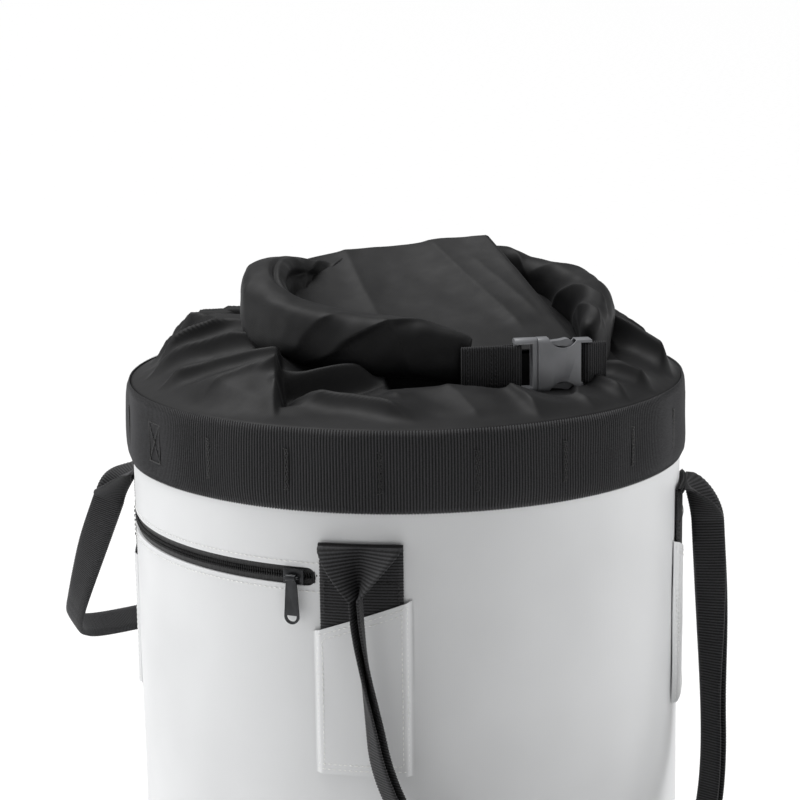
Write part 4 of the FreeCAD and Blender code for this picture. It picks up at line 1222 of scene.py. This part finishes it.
# %% collar folds
FOLDS = [  # start, end, height, gentle side, steep side; x and y on the closure's plan, in mm
    ((-168, -34), (-54, -56), 11.0, 16, 5), ((-158, -66), (-60, -84), 9.0, 20, 5),
    ((-160, -6), (-96, 8), 11.0, 15, 5), ((-140, 34), (-92, 40), 11.0, 12, 5),
    ((-132, -112), (-60, -92), 5.0, 16, 7), ((-168, 22), (-104, 28), 8.0, 12, 5),
    ((-84, -112), (10, -168), 7.5, 12, 4), ((-92, -103), (-14, -95), 7.0, 5, 4),
    ((56, -104), (84, -166), 4.5, 16, 4), ((108, -66), (162, -88), 8.0, 12, 5),
    ((108, -80), (144, -120), 6.0, 11, 5), ((120, 12), (172, -44), 14.0, 15, 6),
    ((128, 22), (160, 10), 6.0, 14, 8), ((20, -108), (44, -162), 2.6, 22, 10),
    ((-20, -100), (-2, -140), 2.0, 14, 8), ((88, -96), (116, -134), 3.2, 14, 6)]
spread_out = np.random.default_rng(7)
for angle in np.arange(20, 168, 9.5):
    a = math.radians(angle + spread_out.uniform(-3, 3))
    b = a + math.radians(spread_out.uniform(-14, 14))
    at_rim = (170 * math.cos(a), 170 * math.sin(a))
    at_neck = (CENTRE[0] + 100 * math.cos(b), CENTRE[1] + 70 * math.sin(b))
    FOLDS.append((at_rim, at_neck, *(spread_out.uniform(*limits) for limits in ((4, 9), (9, 15), (4, 7)))))


def collar_height(x, y, v, low):
    """Height of the collar's cloth at plan point x, y; v runs from 0 at the rim to 1 under the roll."""
    z = 519.6 + (low - 519.6) * v + 5.0 * np.sin(np.pi * v) * smooth((x + 200) / 400 + 0.2)
    free = smooth(v / 0.22) * (0.35 + 0.65 * smooth((1.08 - v) / 0.3))
    rise = np.zeros_like(x)
    for start, end, size, gentle, steep in FOLDS:
        rise += fold_at(x, y, start, end, 1.2 * size, gentle, 0.65 * steep, 0.22)
    pocket = (smooth((x + 75) / 3.0) * smooth((12 - x) / 60)
              * smooth((y + 134) / 16) * smooth((-97 - y) / 7))
    plan = np.stack((x, y, v * 0), -1)
    rise += 2.0 * ripple(plan, 38.0, 2, 2) + 0.4 * ripple(plan, 12.0, 4, 1)
    lobe = (smooth((x + 168) / 80) * smooth((-74.5 - x) / 3.0)
            * smooth((y + 152) / 42) * smooth((-62 - y) / 40))
    height = z + free * (rise + 11.0 * lobe) - 12.0 * pocket * smooth(v / 0.1)
    strap_path = (smooth((x + 22) / 14) * smooth((112 - x) / 14)
                  * smooth((y + 124) / 12) * smooth((-55 - y) / 12))
    return np.minimum(height, 524.5 + 30.0 * (1 - strap_path))    # the free strap slides over here


v = np.linspace(0, 1, 92)
X = rim[None, :, 0] * (1 - v[:, None]) + inner[None, :, 0] * v[:, None]
Y = rim[None, :, 1] * (1 - v[:, None]) + inner[None, :, 1] * v[:, None]
Z = collar_height(X, Y, v[:, None] * np.ones_like(X), low[None] * np.ones_like(X))
sheet = np.stack((X, Y, Z), -1)
hem = [np.stack((rim[:, 0] * k, rim[:, 1] * k, np.full(len(rim), z)), -1)
       for k, z in ((0.996, 506.0), (1.008, 508.0), (1.0085, 518.8))]
towards = unit(CENTRE - inner)
rise = 28.0 + (516.0 - low) * smooth((545.0 - low) / 8)     # ends lower behind the buckle
neck_wall = [np.stack((inner[:, 0] + towards[:, 0] * 2, inner[:, 1] + towards[:, 1] * 2, low + rise * up), -1)
             for up in (0.2, 0.4, 0.6, 0.8, 1.0)]
sheet = np.concatenate((np.stack(hem), sheet, np.stack(neck_wall)))
collar = grid_piece("gathered_collar", closure_points(sheet), nylon, close_columns=True)
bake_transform(collar, "bucket", "rolled_top", start=(0, 0, 0.524), end=(0, 0, 0.556))
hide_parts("collar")
